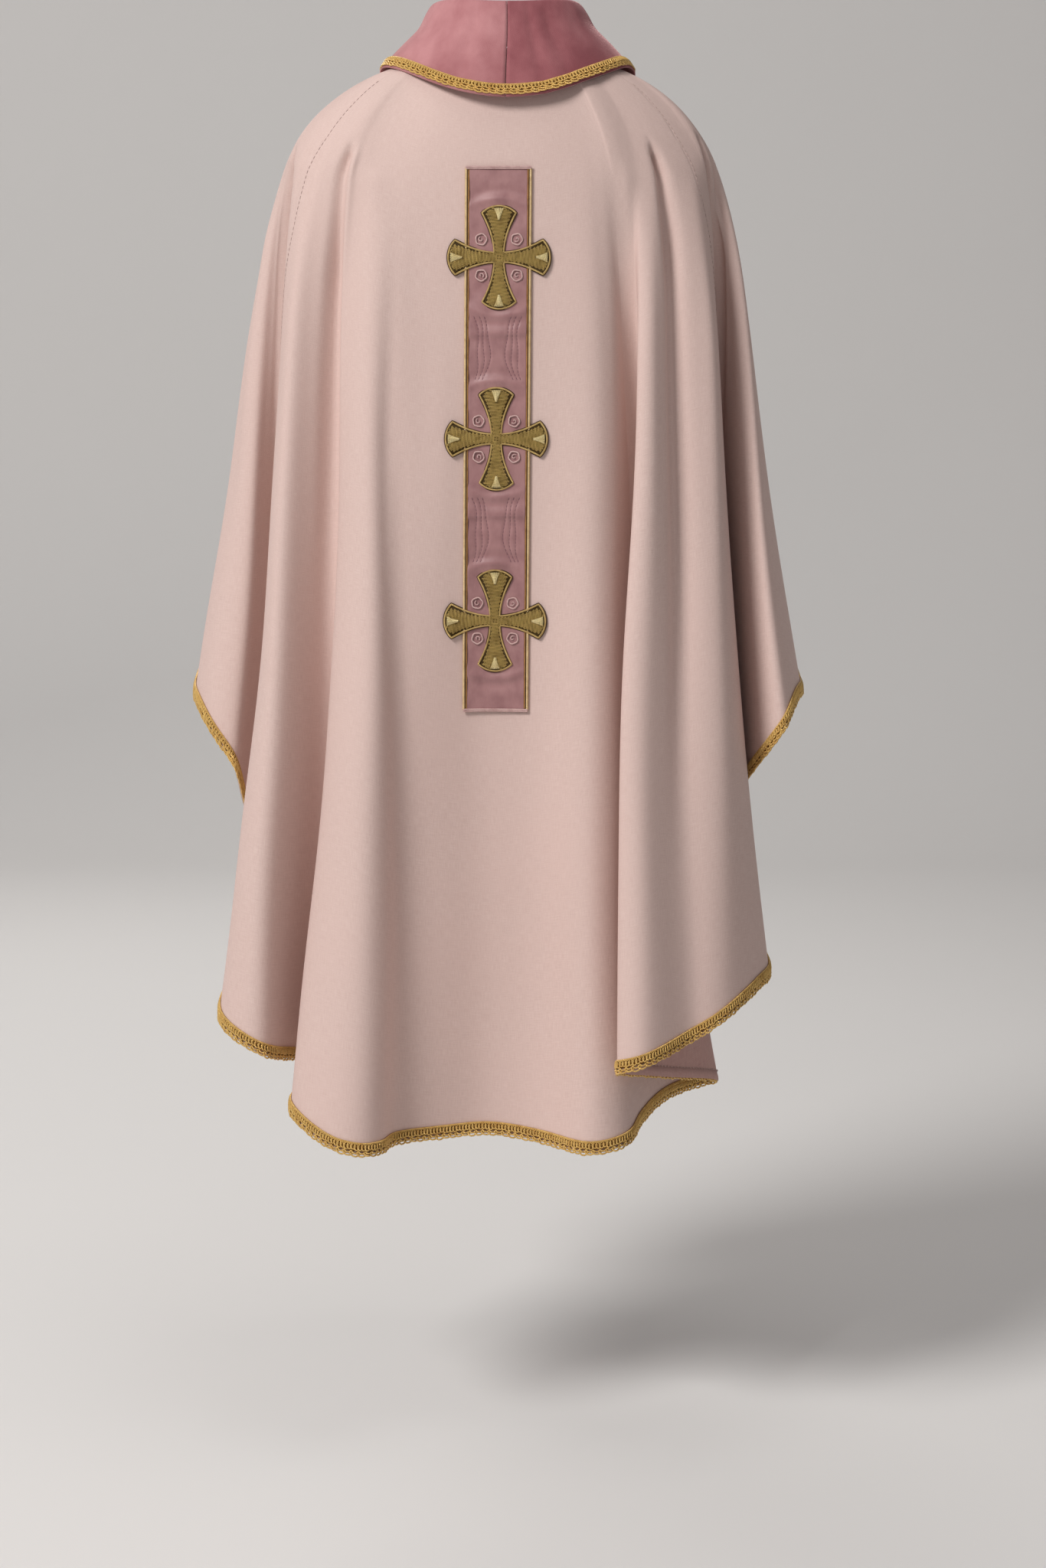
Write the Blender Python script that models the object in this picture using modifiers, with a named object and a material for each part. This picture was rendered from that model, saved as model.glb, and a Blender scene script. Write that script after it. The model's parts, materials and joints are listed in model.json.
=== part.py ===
"""Chasuble in the shape it takes when worn with the arms lowered.

A back and a front panel hang from one neck ring, with a fold-over collar, braid along the hem
and the collar, and a band with three crosses down the back. Lengths are in metres, +Z is up,
the back of the garment faces -Y, and the origin is the middle of the neck between the tops of
the shoulders.
"""

import math
from collections import namedtuple

import bpy
import numpy as np
from mathutils import Vector
from mathutils.bvhtree import BVHTree

CLOTH = 0.0016  # thickness of the panels
VELVET = 0.0020  # thickness of the collar
TRIM = 0.0014  # thickness of the braids
GAP = 0.0003  # between a panel and what is sewn on it
SEAM_GAP = 0.0004  # between two panels that meet at a seam

# The arms and shoulders carry the cloth on a rounded rectangle at this level.
SHOULDER_LEFT, SHOULDER_RIGHT = 0.252, 0.238
SHOULDER_BACK, SHOULDER_FRONT = 0.125, 0.130
SHOULDER_Z, SHOULDER_DROP = -0.100, 0.020
ROUNDNESS = 2.4

# A fold is a line that falls from the shoulder level at `turn`, in degrees from the middle of
# the back, to the hem at x, y, z. `bow` bends it sideways on its way, and one with a `late`
# over 1 leaves the shoulders' round line further down.
Fold = namedtuple("Fold", "name turn x y z bow late")
BACK_FOLDS = [
    Fold("left_arm", -92, -0.365, 0.030, -0.695, 0.0, 1.0),
    Fold("left_arm_round", -87, -0.356, -0.014, -0.709, 0.0, 1.0),
    Fold("left_arm_face", -83.5, -0.338, -0.040, -0.736, 0.0, 1.0),
    Fold("left_arm_turn", -80.5, -0.313, -0.048, -0.772, 0.0, 1.0),
    Fold("left_arm_inside", -78.5, -0.303, -0.010, -0.832, 0.0, 1.3),
    Fold("left_pocket", -76.5, -0.274, 0.040, -0.909, 0.0, 1.4),
    Fold("left_pocket_wall", -73, -0.247, 0.028, -0.944, 0.0, 1.4),
    Fold("left_lobe_edge", -64.5, -0.329, -0.130, -1.045, 0.0, 1.35),
    Fold("left_lobe", -54, -0.276, -0.184, -1.079, -0.006, 1.0),
    Fold("left_valley", -44.5, -0.226, -0.082, -1.109, 0.0, 1.6),
    Fold("left_valley_wall", -41, -0.196, -0.088, -1.132, 0.0, 1.6),
    Fold("inner_edge", -37, -0.246, -0.192, -1.138, 0.0, 1.6),
    Fold("inner_lobe", -32, -0.196, -0.252, -1.168, 0.0, 1.2),
    Fold("inner_round", -27, -0.160, -0.257, -1.176, 0.0, 1.0),
    Fold("inner_turn", -22.5, -0.138, -0.238, -1.177, 0.0, 1.0),
    Fold("inner_step", -18, -0.124, -0.201, -1.176, 0.0, 1.0),
    Fold("centre_left", -11, -0.074, -0.177, -1.175, 0.0, 1.0),
    Fold("centre_hollow", -4, -0.020, -0.162, -1.174, 0.0, 1.0),
    Fold("centre_right", 6, 0.037, -0.178, -1.180, 0.0, 1.0),
    Fold("centre_ridge", 17, 0.091, -0.229, -1.182, 0.0, 1.0),
    Fold("ridge_turn", 20.5, 0.132, -0.213, -1.175, 0.0, 1.1),
    Fold("pocket_wall", 23, 0.150, -0.162, -1.164, 0.0, 1.15),
    Fold("pocket_inside", 25, 0.180, -0.090, -1.152, 0.0, 1.5),
    Fold("pocket_end", 26.5, 0.225, -0.014, -1.154, 0.0, 1.9),
    Fold("pocket_back", 28.5, 0.248, -0.034, -1.144, 0.0, 1.7),
    Fold("right_lobe_edge", 33.5, 0.117, -0.281, -1.078, -0.006, 1.05),
    Fold("right_lobe_front", 35.5, 0.132, -0.297, -1.072, -0.006, 1.0),
    Fold("right_lobe_nose", 38.5, 0.150, -0.299, -1.066, -0.004, 1.0),
    Fold("right_lobe_hollow", 44, 0.201, -0.250, -1.049, 0.0, 1.1),
    Fold("right_lobe_rise", 50.5, 0.226, -0.243, -1.036, 0.007, 1.0),
    Fold("right_lobe", 55.5, 0.249, -0.228, -1.022, 0.007, 0.95),
    Fold("right_lobe_turn", 59.5, 0.280, -0.178, -1.004, 0.004, 1.1),
    Fold("right_lobe_side", 62.5, 0.297, -0.112, -0.994, 0.0, 1.3),
    Fold("right_pocket_wall", 67.5, 0.230, 0.014, -0.899, 0.0, 1.2),
    Fold("right_pocket", 71.5, 0.249, 0.020, -0.864, 0.0, 1.2),
    Fold("right_pocket_out", 75, 0.270, -0.066, -0.793, 0.0, 1.2),
    Fold("right_arm_turn", 78.5, 0.287, -0.124, -0.754, 0.0, 1.0),
    Fold("right_arm_fold", 83, 0.308, -0.151, -0.719, 0.0, 0.9),
    Fold("right_arm_round", 87.5, 0.325, -0.110, -0.691, 0.0, 1.0),
]
FRONT_FOLDS = [
    Fold("right_arm", 92, 0.339, 0.030, -0.689, 0.0, 1.0),
    Fold("right_arm_front", 101, 0.329, 0.110, -0.660, 0.0, 1.0),
    Fold("right_hand_turn", 109, 0.288, 0.168, -0.715, 0.0, 1.0),
    Fold("right_hand_valley", 114, 0.244, 0.072, -0.835, 0.0, 1.2),
    Fold("right_hand_wall", 117.5, 0.214, 0.082, -0.880, 0.0, 1.2),
    Fold("right_fall_edge", 123, 0.268, 0.194, -0.965, 0.0, 1.0),
    Fold("right_fall", 133, 0.215, 0.240, -1.020, 0.0, 1.0),
    Fold("right_fall_valley", 140, 0.174, 0.142, -1.063, 0.0, 1.1),
    Fold("right_fall_wall", 143.5, 0.143, 0.147, -1.085, 0.0, 1.1),
    Fold("right_front_edge", 149, 0.167, 0.237, -1.108, 0.0, 1.0),
    Fold("right_front", 157, 0.105, 0.272, -1.135, 0.0, 1.0),
    Fold("front_hollow", 171, 0.040, 0.213, -1.150, 0.0, 1.0),
    Fold("front_middle", 183, -0.010, 0.225, -1.150, 0.0, 1.0),
    Fold("left_front", 196, -0.075, 0.267, -1.145, 0.0, 1.0),
    Fold("left_front_edge", 206, -0.129, 0.250, -1.130, 0.0, 1.0),
    Fold("left_fall_wall", 211, -0.116, 0.160, -1.108, 0.0, 1.1),
    Fold("left_fall_valley", 214.5, -0.147, 0.156, -1.090, 0.0, 1.1),
    Fold("left_fall_edge", 220, -0.177, 0.242, -1.065, 0.0, 1.0),
    Fold("left_fall", 231, -0.244, 0.217, -1.010, 0.0, 1.0),
    Fold("left_hand_wall", 237.5, -0.206, 0.112, -0.950, 0.0, 1.2),
    Fold("left_hand_valley", 241, -0.233, 0.090, -0.905, 0.0, 1.2),
    Fold("left_hand_turn", 248, -0.297, 0.167, -0.800, 0.0, 1.0),
    Fold("left_arm_front", 258, -0.347, 0.110, -0.670, 0.0, 1.0),
]
FOLDS = BACK_FOLDS + FRONT_FOLDS
STEPS = 6  # columns worked out between two folds
CELL = 0.034  # how far apart the lines that are kept may be at the hem
SOFTEN = 2  # rounds of easing over the folds' turns
YOKE_ROWS = (0.0, 0.22, 0.45, 0.70)
FALL_ROWS = (0.0, 0.08, 0.18, 0.30, 0.42, 0.54, 0.66, 0.78, 0.89)
HEM_TURN = 0.016  # height of the turned hem, on which the braid is sewn
FLARE = 0.11

# Rings round the neck: half width, y at the back and front, z at the back, sides and front.
Ring = namedtuple("Ring", "name half_width back front z_back z_side z_front")
NECK = Ring("neck", 0.0800, -0.0600, 0.0850, 0.0300, 0.0090, -0.0450)
COLLAR = [
    Ring("seam", 0.0800, -0.0600, 0.0850, 0.0312, 0.0102, -0.0438),
    Ring("stand", 0.0800, -0.0630, 0.0850, 0.0530, 0.0400, -0.0200),
    Ring("roll_inside", 0.0810, -0.0660, 0.0870, 0.0720, 0.0640, 0.0030),
    Ring("roll_top", 0.0860, -0.0710, 0.0930, 0.0800, 0.0735, 0.0100),
    Ring("roll_outside", 0.0925, -0.0775, 0.1000, 0.0715, 0.0660, 0.0020),
    Ring("fall", 0.1020, -0.0890, 0.1130, 0.0450, 0.0500, -0.0280),
    Ring("fall_low", 0.1200, -0.1040, 0.1270, 0.0120, 0.0320, -0.0680),
    Ring("edge", 0.1440, -0.1200, 0.1430, -0.0265, 0.0060, -0.1130),
]
COLLAR_STEPS = 2
COLLAR_COLUMNS = 16  # over half of the collar
BRAID_ABOVE_EDGE, COLLAR_BRAID = 0.0035, 0.0120
HEM_BRAID_BELOW = 0.0035

# The band's corners on the back, x then z, with its cords included.
BAND_TOP = (-0.0453, 0.0280, -0.1015)
BAND_BOTTOM = (-0.0492, 0.0239, -0.6983)
CORD, STITCH = 0.0055, 0.0036
BAND_THICK, CORD_THICK, STITCH_THICK = 0.0010, 0.0012, 0.0009
BAND_OFF = 0.0009

# Crosses with arms that widen to a rounded end, and the rings between their arms.
CROSS_CENTRES = {
    "top": (-0.0082, -0.2004),
    "middle": (-0.0113, -0.3975),
    "bottom": (-0.0130, -0.5973),
}
CROSS_WAIST, CROSS_TIP, CROSS_REACH, CROSS_CROWN = 0.00525, 0.0185, 0.0480, 0.0556
CROSS_FLARE = 1.8
CROSS_THICK, CROSS_OFF = 0.0026, 0.0025
CROSS_RIM = 0.35  # thickness at the rim, as a part of the whole
RING_PLACE, RING_RADIUS, RING_CORD, RING_OFF = 0.0195, 0.0058, 0.0009, 0.0032

Look = namedtuple("Look", "colour roughness metallic")
LOOKS = {
    "rose_cloth": Look((0.64, 0.45, 0.42), 0.85, 0.0),
    "rose_velvet": Look((0.46, 0.25, 0.27), 0.95, 0.0),
    "gold_braid": Look((0.62, 0.45, 0.20), 0.50, 0.6),
    "gold_cord": Look((0.66, 0.52, 0.30), 0.50, 0.5),
    "mauve_satin": Look((0.33, 0.16, 0.19), 0.45, 0.0),
    "pale_thread": Look((0.72, 0.52, 0.50), 0.60, 0.0),
    "gold_thread": Look((0.42, 0.33, 0.16), 0.45, 0.5),
}


def clear_scene():
    for obj in list(bpy.data.objects):
        bpy.data.objects.remove(obj, do_unlink=True)


def smooth_step(before, start, end, after, gaps, f):
    """A point between `start` and `end` of a curve through four points, f from 0 to 1."""
    near, mid, far = gaps
    leave = ((start - before) / near - (end - before) / (near + mid) + (end - start) / mid) * mid
    reach = ((end - start) / mid - (after - start) / (mid + far) + (after - end) / far) * mid
    return (
        (2 * f**3 - 3 * f**2 + 1) * start
        + (f**3 - 2 * f**2 + f) * leave
        + (3 * f**2 - 2 * f**3) * end
        + (f**3 - f**2) * reach
    )


def fold_rows():
    """The folds with `STEPS - 1` lines between each two, all the way round."""
    table = np.array([fold[1:] for fold in FOLDS], float)
    count = len(table)
    hems = table[:, 1:4]
    gaps = np.sqrt(np.linalg.norm(np.roll(hems, -1, axis=0) - hems, axis=1))

    def row(i):
        values = table[i % count].copy()
        values[0] += 360.0 * (i // count)
        return values

    rows = []
    for i in range(count):
        near = [gaps[(i + k) % count] for k in (-1, 0, 1)]
        four = [row(i + k) for k in (-1, 0, 1, 2)]
        rows += [smooth_step(*four, near, k / STEPS) for k in range(STEPS)]
    rows = np.array(rows)
    for _ in range(SOFTEN):
        back, ahead = np.roll(rows, 1, axis=0), np.roll(rows, -1, axis=0)
        back[0, 0] -= 360.0
        ahead[-1, 0] += 360.0
        rows = (back + 2 * rows + ahead) / 4
    return rows


def around(ring, angle):
    """The point of a ring at this angle from the middle of the back."""
    middle, half = (ring.front + ring.back) / 2, (ring.front - ring.back) / 2
    ends = (ring.z_back + ring.z_front) / 2
    z = (ends + ring.z_side) / 2 + (ring.z_back - ring.z_front) / 2 * math.cos(angle)
    z += (ends - ring.z_side) / 2 * math.cos(2 * angle)
    return np.array([ring.half_width * math.sin(angle), middle - half * math.cos(angle), z])


def shoulder(angle):
    """The point at this angle of the line on which the cloth is carried."""
    side, back = math.sin(angle), math.cos(angle)
    width = SHOULDER_RIGHT if side > 0 else SHOULDER_LEFT
    depth = SHOULDER_BACK if back > 0 else SHOULDER_FRONT
    x = width * math.copysign(abs(side) ** (2 / ROUNDNESS), side)
    y = -depth * math.copysign(abs(back) ** (2 / ROUNDNESS), back)
    return np.array([x, y, SHOULDER_Z - SHOULDER_DROP * back**2])


def fold_line(turn, x, y, z, bow, late):
    """Points from the neck, over the shoulder and down to the hem."""
    angle = math.radians(turn)
    neck, carried, hem = around(NECK, angle), shoulder(angle), np.array([x, y, z])
    out = (carried - neck) * (1, 1, 0)
    out /= np.linalg.norm(out)
    fall = hem - carried + out * FLARE + np.array([4 * bow, 0, 0])
    fall /= np.linalg.norm(fall)
    reach = np.linalg.norm(carried - neck)
    leave = out * reach * (0.6 + 0.5 * abs(math.sin(angle)))
    leave[2] = -0.02 * reach
    points = []
    for s in YOKE_ROWS:
        points.append(
            (2 * s**3 - 3 * s**2 + 1) * neck
            + (s**3 - 2 * s**2 + s) * leave
            + (3 * s**2 - 2 * s**3) * carried
            + (s**3 - s**2) * fall * reach
        )
    turned = 1 - HEM_TURN / np.linalg.norm(hem - carried)
    for t in FALL_ROWS + (turned, 1.0):
        spread = np.array([t**late, t**late, t])
        sideways = np.array([4 * bow * t * (1 - t), 0, 0])
        swell = out * FLARE * t * (1 - t) ** 4
        points.append(carried + (hem - carried) * spread + swell + sideways)
    return np.array(points)


def kept_lines(rows, first, last):
    """The numbers of the lines that a panel is made of, closer where the folds are."""
    wanted = []
    for fold in range(first, last):
        start, end = rows[fold * STEPS], rows[(fold + 1) * STEPS % len(rows)]
        cells = round(np.linalg.norm(end[1:4] - start[1:4]) / CELL)
        wanted += range(fold * STEPS, (fold + 1) * STEPS, STEPS // min(max(cells, 1), 3))
    start, end = first * STEPS, last * STEPS
    return sorted({*wanted, start + 1, end - 1, end})


def panel_lines(first, last):
    """The lines of one panel, drawn back from both seams by half the seam's gap."""
    rows = fold_rows()
    wanted = kept_lines(rows, first, last)
    lines = np.array([fold_line(*rows[i % len(rows)]) for i in wanted])
    for end, beside in ((0, 1), (-1, -2)):
        inward = lines[beside] - lines[end]
        inward /= np.linalg.norm(inward, axis=1)[:, None]
        lines[end] += inward * SEAM_GAP / 2
    return lines


def grid_faces(columns, rows, closed=False):
    """Triangles over a grid of points that is numbered column by column."""
    faces = []
    for i in range(columns if closed else columns - 1):
        here, there = i * rows, (i + 1) % columns * rows
        for j in range(rows - 1):
            faces.append((here + j, here + j + 1, there + j))
            faces.append((there + j, here + j + 1, there + j + 1))
    return faces


def add_mesh(name, points, faces, look):
    mesh = bpy.data.meshes.new(name)
    mesh.from_pydata([tuple(map(float, p)) for p in points], [], faces)
    mesh.shade_smooth()
    obj = bpy.data.objects.new(name, mesh)
    collection.objects.link(obj)
    give_material(obj, look)
    return obj


def give_material(obj, look):
    material = bpy.data.materials.new(obj.name)
    material.use_nodes = True
    shader = material.node_tree.nodes["Principled BSDF"]
    shader.inputs["Base Color"].default_value = (*LOOKS[look].colour, 1)
    shader.inputs["Roughness"].default_value = LOOKS[look].roughness
    shader.inputs["Metallic"].default_value = LOOKS[look].metallic
    obj.data.materials.clear()
    obj.data.materials.append(material)


def thicken(obj, thickness, outward=False):
    solid = obj.modifiers.new("thickness", "SOLIDIFY")
    solid.thickness = thickness
    solid.offset = 1 if outward else -1
    return solid


def add_sheet(name, lines, look, thickness, outward=False, closed=False):
    """A piece of cloth over lines of points, given its thickness on one side."""
    columns, rows = lines.shape[:2]
    faces = grid_faces(columns, rows, closed)
    obj = add_mesh(name, lines.reshape(-1, 3), faces, look)
    thicken(obj, thickness, outward)
    return obj


def normals_of(lines, closed=False):
    """The outward normal at each point of a grid, from the triangles that meet there."""
    columns, rows = lines.shape[:2]
    points = lines.reshape(-1, 3)
    normals = np.zeros_like(points)
    for a, b, c in grid_faces(columns, rows, closed):
        across = np.cross(points[b] - points[a], points[c] - points[a])
        for corner in (a, b, c):
            normals[corner] += across
    normals /= np.linalg.norm(normals, axis=1)[:, None]
    return normals.reshape(lines.shape)


def collar_lines(left):
    """Lines over half of the collar, from the neck seam over the roll to the lower edge."""
    turns = np.linspace(0, 180, COLLAR_COLUMNS + 1)
    turns = np.insert(turns, (1, COLLAR_COLUMNS), (3, 177))
    if left:
        turns = turns[::-1] * -1
    lines = []
    for turn in turns:
        rings = [around(ring, math.radians(turn)) for ring in COLLAR]
        rings = [2 * rings[0] - rings[1]] + rings + [2 * rings[-1] - rings[-2]]
        line = []
        for i in range(1, len(COLLAR)):
            for k in range(COLLAR_STEPS):
                line.append(smooth_step(*rings[i - 1 : i + 3], (1, 1, 1), k / COLLAR_STEPS))
        lines.append(line + [rings[-2]])
    lines = np.array(lines)
    for end, beside in ((0, 1), (-1, -2)):
        inward = lines[beside] - lines[end]
        inward /= np.linalg.norm(inward, axis=1)[:, None]
        lines[end] += inward * SEAM_GAP / 2
    return lines


def hem_braid_lines(lines):
    """The braid's lines on the outside of the turned hem, and a little below it."""
    normals = normals_of(lines)
    high, low = lines[:, -2] + normals[:, -2] * GAP, lines[:, -1] + normals[:, -1] * GAP
    down = lines[:, -1] - lines[:, -2]
    down /= np.linalg.norm(down, axis=1)[:, None]
    return np.stack([high, low, low + down * HEM_BRAID_BELOW], axis=1)


def collar_braid_lines(halves):
    """The braid's lines all round the collar, on its outside just above the lower edge."""
    left, right = (half[1:-1] for half in halves)
    ring = np.concatenate([left, right])
    normals = normals_of(ring, closed=True)
    up = ring[:, -2] - ring[:, -1]
    far = np.linalg.norm(up, axis=1)[:, None]
    up /= far
    lines = []
    for height in (BRAID_ABOVE_EDGE + COLLAR_BRAID, BRAID_ABOVE_EDGE):
        lines.append(ring[:, -1] + up * height + normals[:, -1] * GAP)
    return np.stack(lines, axis=1)


class Back:
    """The back panel's outside, on which the band and the crosses are laid."""

    def __init__(self, lines):
        columns, rows = lines.shape[:2]
        points = [Vector(p) for p in lines.reshape(-1, 3)]
        self.tree = BVHTree.FromPolygons(points, grid_faces(columns, rows))

    def lay(self, x, z, off):
        hit = self.tree.ray_cast(Vector((x, -1, z)), Vector((0, 1, 0)))[0]
        return np.array([x, hit.y - off, z])


def band_place(across, down):
    """x and z of a place on the band, 0 to 1 across and 0 to 1 down."""
    left = BAND_TOP[0] + (BAND_BOTTOM[0] - BAND_TOP[0]) * down
    right = BAND_TOP[1] + (BAND_BOTTOM[1] - BAND_TOP[1]) * down
    return left + (right - left) * across, BAND_TOP[2] + (BAND_BOTTOM[2] - BAND_TOP[2]) * down


def add_band_piece(name, across, down, cells, look, off, thickness, back):
    """A flat piece of the band, between two places across it and two down it."""
    lines = [
        [back.lay(*band_place(a, d), off) for d in np.linspace(*down, cells[1] + 1)]
        for a in np.linspace(*across, cells[0] + 1)
    ]
    add_sheet(name, np.array(lines), look, thickness, outward=True)


def add_band(back):
    width, length = BAND_TOP[1] - BAND_TOP[0], BAND_TOP[2] - BAND_BOTTOM[2]
    cord, stitch, gap = CORD / width, STITCH / length, GAP / width
    long, inside = (stitch, 1 - stitch), (cord + gap, 1 - cord - gap)
    gap = GAP / length
    long = (long[0] + gap, long[1] - gap)
    add_band_piece("orphrey_band", inside, long, (7, 20), "mauve_satin", BAND_OFF, BAND_THICK, back)
    for name, sides in (("left", (0, cord)), ("right", (1 - cord, 1))):
        piece = "band_cord_" + name
        add_band_piece(piece, sides, long, (2, 20), "gold_cord", BAND_OFF, CORD_THICK, back)
    for name, ends in (("top", (0, stitch)), ("bottom", (1 - stitch, 1))):
        piece = "band_stitch_" + name
        add_band_piece(piece, (0, 1), ends, (8, 1), "pale_thread", BAND_OFF, STITCH_THICK, back)


def cross_grid():
    """Corners of the cross as (x, z), with how thick it is at each, and its faces."""
    bend = (CROSS_TIP**2 + CROSS_REACH**2 - CROSS_CROWN**2) / (2 * (CROSS_REACH - CROSS_CROWN))
    radius = CROSS_CROWN - bend
    across, along = (-1, -0.6, 0, 0.6, 1), (0, 0.3, 0.6, 0.88, 1)
    corners, thick, faces = {}, [], []

    def corner(x, z, rim):
        key = (round(x, 6), round(z, 6))
        if key not in corners:
            corners[key] = len(thick)
            thick.append(CROSS_RIM if rim else 1.0)
        return corners[key]

    def fill(block):
        for line, beside in zip(block, block[1:]):
            for a, b, c, d in zip(line, line[1:], beside[1:], beside):
                faces.append((d, c, b, a))

    core = [
        [corner(u * CROSS_WAIST, v * CROSS_WAIST, abs(u) == abs(v) == 1) for v in across]
        for u in across
    ]
    fill(core)
    for quarter in range(4):
        cos, sin = round(math.cos(quarter * math.pi / 2)), round(math.sin(quarter * math.pi / 2))
        arm = []
        for g in along:
            width = CROSS_WAIST + (CROSS_TIP - CROSS_WAIST) * g**CROSS_FLARE
            line = []
            for f in across:
                end = bend + math.sqrt(radius**2 - (f * CROSS_TIP) ** 2)
                out, side = CROSS_WAIST + (end - CROSS_WAIST) * g, f * width
                rim = abs(f) == 1 or g == 1
                line.append(corner(out * cos - side * sin, out * sin + side * cos, rim))
            arm.append(line)
        fill(arm)
    return list(corners), thick, faces


def add_cross(name, centre, back):
    corners, thick, faces = cross_grid()
    points = [back.lay(centre[0] + x, centre[1] + z, CROSS_OFF) for x, z in corners]
    obj = add_mesh("cross_" + name, points, faces, "gold_thread")
    padding = obj.vertex_groups.new(name="padding")
    for i, weight in enumerate(thick):
        padding.add([i], weight, "REPLACE")
    solid = thicken(obj, CROSS_THICK, outward=True)
    solid.vertex_group = "padding"


def add_rings(name, centre, back):
    places = [(-1, 1), (1, 1), (-1, -1), (1, -1)]
    for number, (side, up) in enumerate(places, 1):
        x, z = centre[0] + side * RING_PLACE, centre[1] + up * RING_PLACE
        turns = [k * math.pi / 4 for k in range(8)]
        r = RING_RADIUS
        rim = [back.lay(x + r * math.cos(t), z + r * math.sin(t), 0) for t in turns]
        middle = back.lay(x, z, 0)
        normal = np.cross(rim[0] - rim[4], rim[2] - rim[6])
        normal /= np.linalg.norm(normal)
        rise = max((point - middle) @ normal for point in rim + [middle])
        bpy.ops.mesh.primitive_torus_add(
            major_segments=16, minor_segments=5, major_radius=r, minor_radius=RING_CORD,
            location=middle + normal * (rise + RING_OFF),
            rotation=Vector(normal).to_track_quat("Z", "Y").to_euler(),
        )
        ring = bpy.context.active_object
        ring.name = ring.data.name = f"ring_{name}_{number}"
        for other in ring.users_collection:
            other.objects.unlink(ring)
        collection.objects.link(ring)
        ring.data.shade_smooth()
        give_material(ring, "pale_thread")


clear_scene()
collection = bpy.data.collections.new("chasuble")
bpy.context.scene.collection.children.link(collection)

back_lines = panel_lines(0, len(BACK_FOLDS))
front_lines = panel_lines(len(BACK_FOLDS), len(FOLDS))
for side, lines in (("back", back_lines), ("front", front_lines)):
    add_sheet(side + "_panel", lines, "rose_cloth", CLOTH)
    braid = hem_braid_lines(lines)
    add_sheet("hem_braid_" + side, braid, "gold_braid", TRIM, outward=True)

collar_halves = [collar_lines(left=True), collar_lines(left=False)]
for side, lines in zip(("left", "right"), collar_halves):
    add_sheet("collar_" + side, lines, "rose_velvet", VELVET)
braid = collar_braid_lines(collar_halves)
add_sheet("collar_braid", braid, "gold_braid", TRIM, outward=True, closed=True)

back_cloth = Back(back_lines)
add_band(back_cloth)
for place, centre in CROSS_CENTRES.items():
    add_cross(place, centre, back_cloth)
    add_rings(place, centre, back_cloth)
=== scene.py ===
"""Looks of the chasuble: fine cloth, velvet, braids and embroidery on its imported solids."""

import json
import math
from collections import namedtuple

import bpy
import numpy as np
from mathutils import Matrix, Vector
from mathutils.bvhtree import BVHTree

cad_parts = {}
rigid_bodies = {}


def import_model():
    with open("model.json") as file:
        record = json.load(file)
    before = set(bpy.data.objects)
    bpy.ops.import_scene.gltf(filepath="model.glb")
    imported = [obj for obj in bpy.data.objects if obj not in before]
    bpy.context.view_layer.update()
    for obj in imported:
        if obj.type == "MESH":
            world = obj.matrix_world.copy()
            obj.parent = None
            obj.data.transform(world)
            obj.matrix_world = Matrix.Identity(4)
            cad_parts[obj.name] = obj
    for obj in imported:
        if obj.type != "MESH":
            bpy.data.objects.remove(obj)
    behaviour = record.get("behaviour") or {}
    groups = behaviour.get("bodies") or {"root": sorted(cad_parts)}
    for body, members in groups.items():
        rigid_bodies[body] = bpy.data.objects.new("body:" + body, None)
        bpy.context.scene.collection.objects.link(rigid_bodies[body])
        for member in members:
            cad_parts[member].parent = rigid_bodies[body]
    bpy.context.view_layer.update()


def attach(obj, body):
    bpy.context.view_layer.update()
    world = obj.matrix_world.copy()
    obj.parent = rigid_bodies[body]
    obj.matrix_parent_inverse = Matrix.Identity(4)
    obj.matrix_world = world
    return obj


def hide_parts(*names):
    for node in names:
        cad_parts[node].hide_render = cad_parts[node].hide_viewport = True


for startup in list(bpy.data.objects):
    bpy.data.objects.remove(startup, do_unlink=True)
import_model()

# The form of the solids: where the shoulders carry the cloth, and the folds round it.
SHOULDER_LEFT, SHOULDER_RIGHT = 0.252, 0.238
SHOULDER_BACK, SHOULDER_FRONT = 0.125, 0.130
SHOULDER_Z, SHOULDER_DROP = -0.100, 0.020
ROUNDNESS = 2.4
FLARE = 0.11

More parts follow.
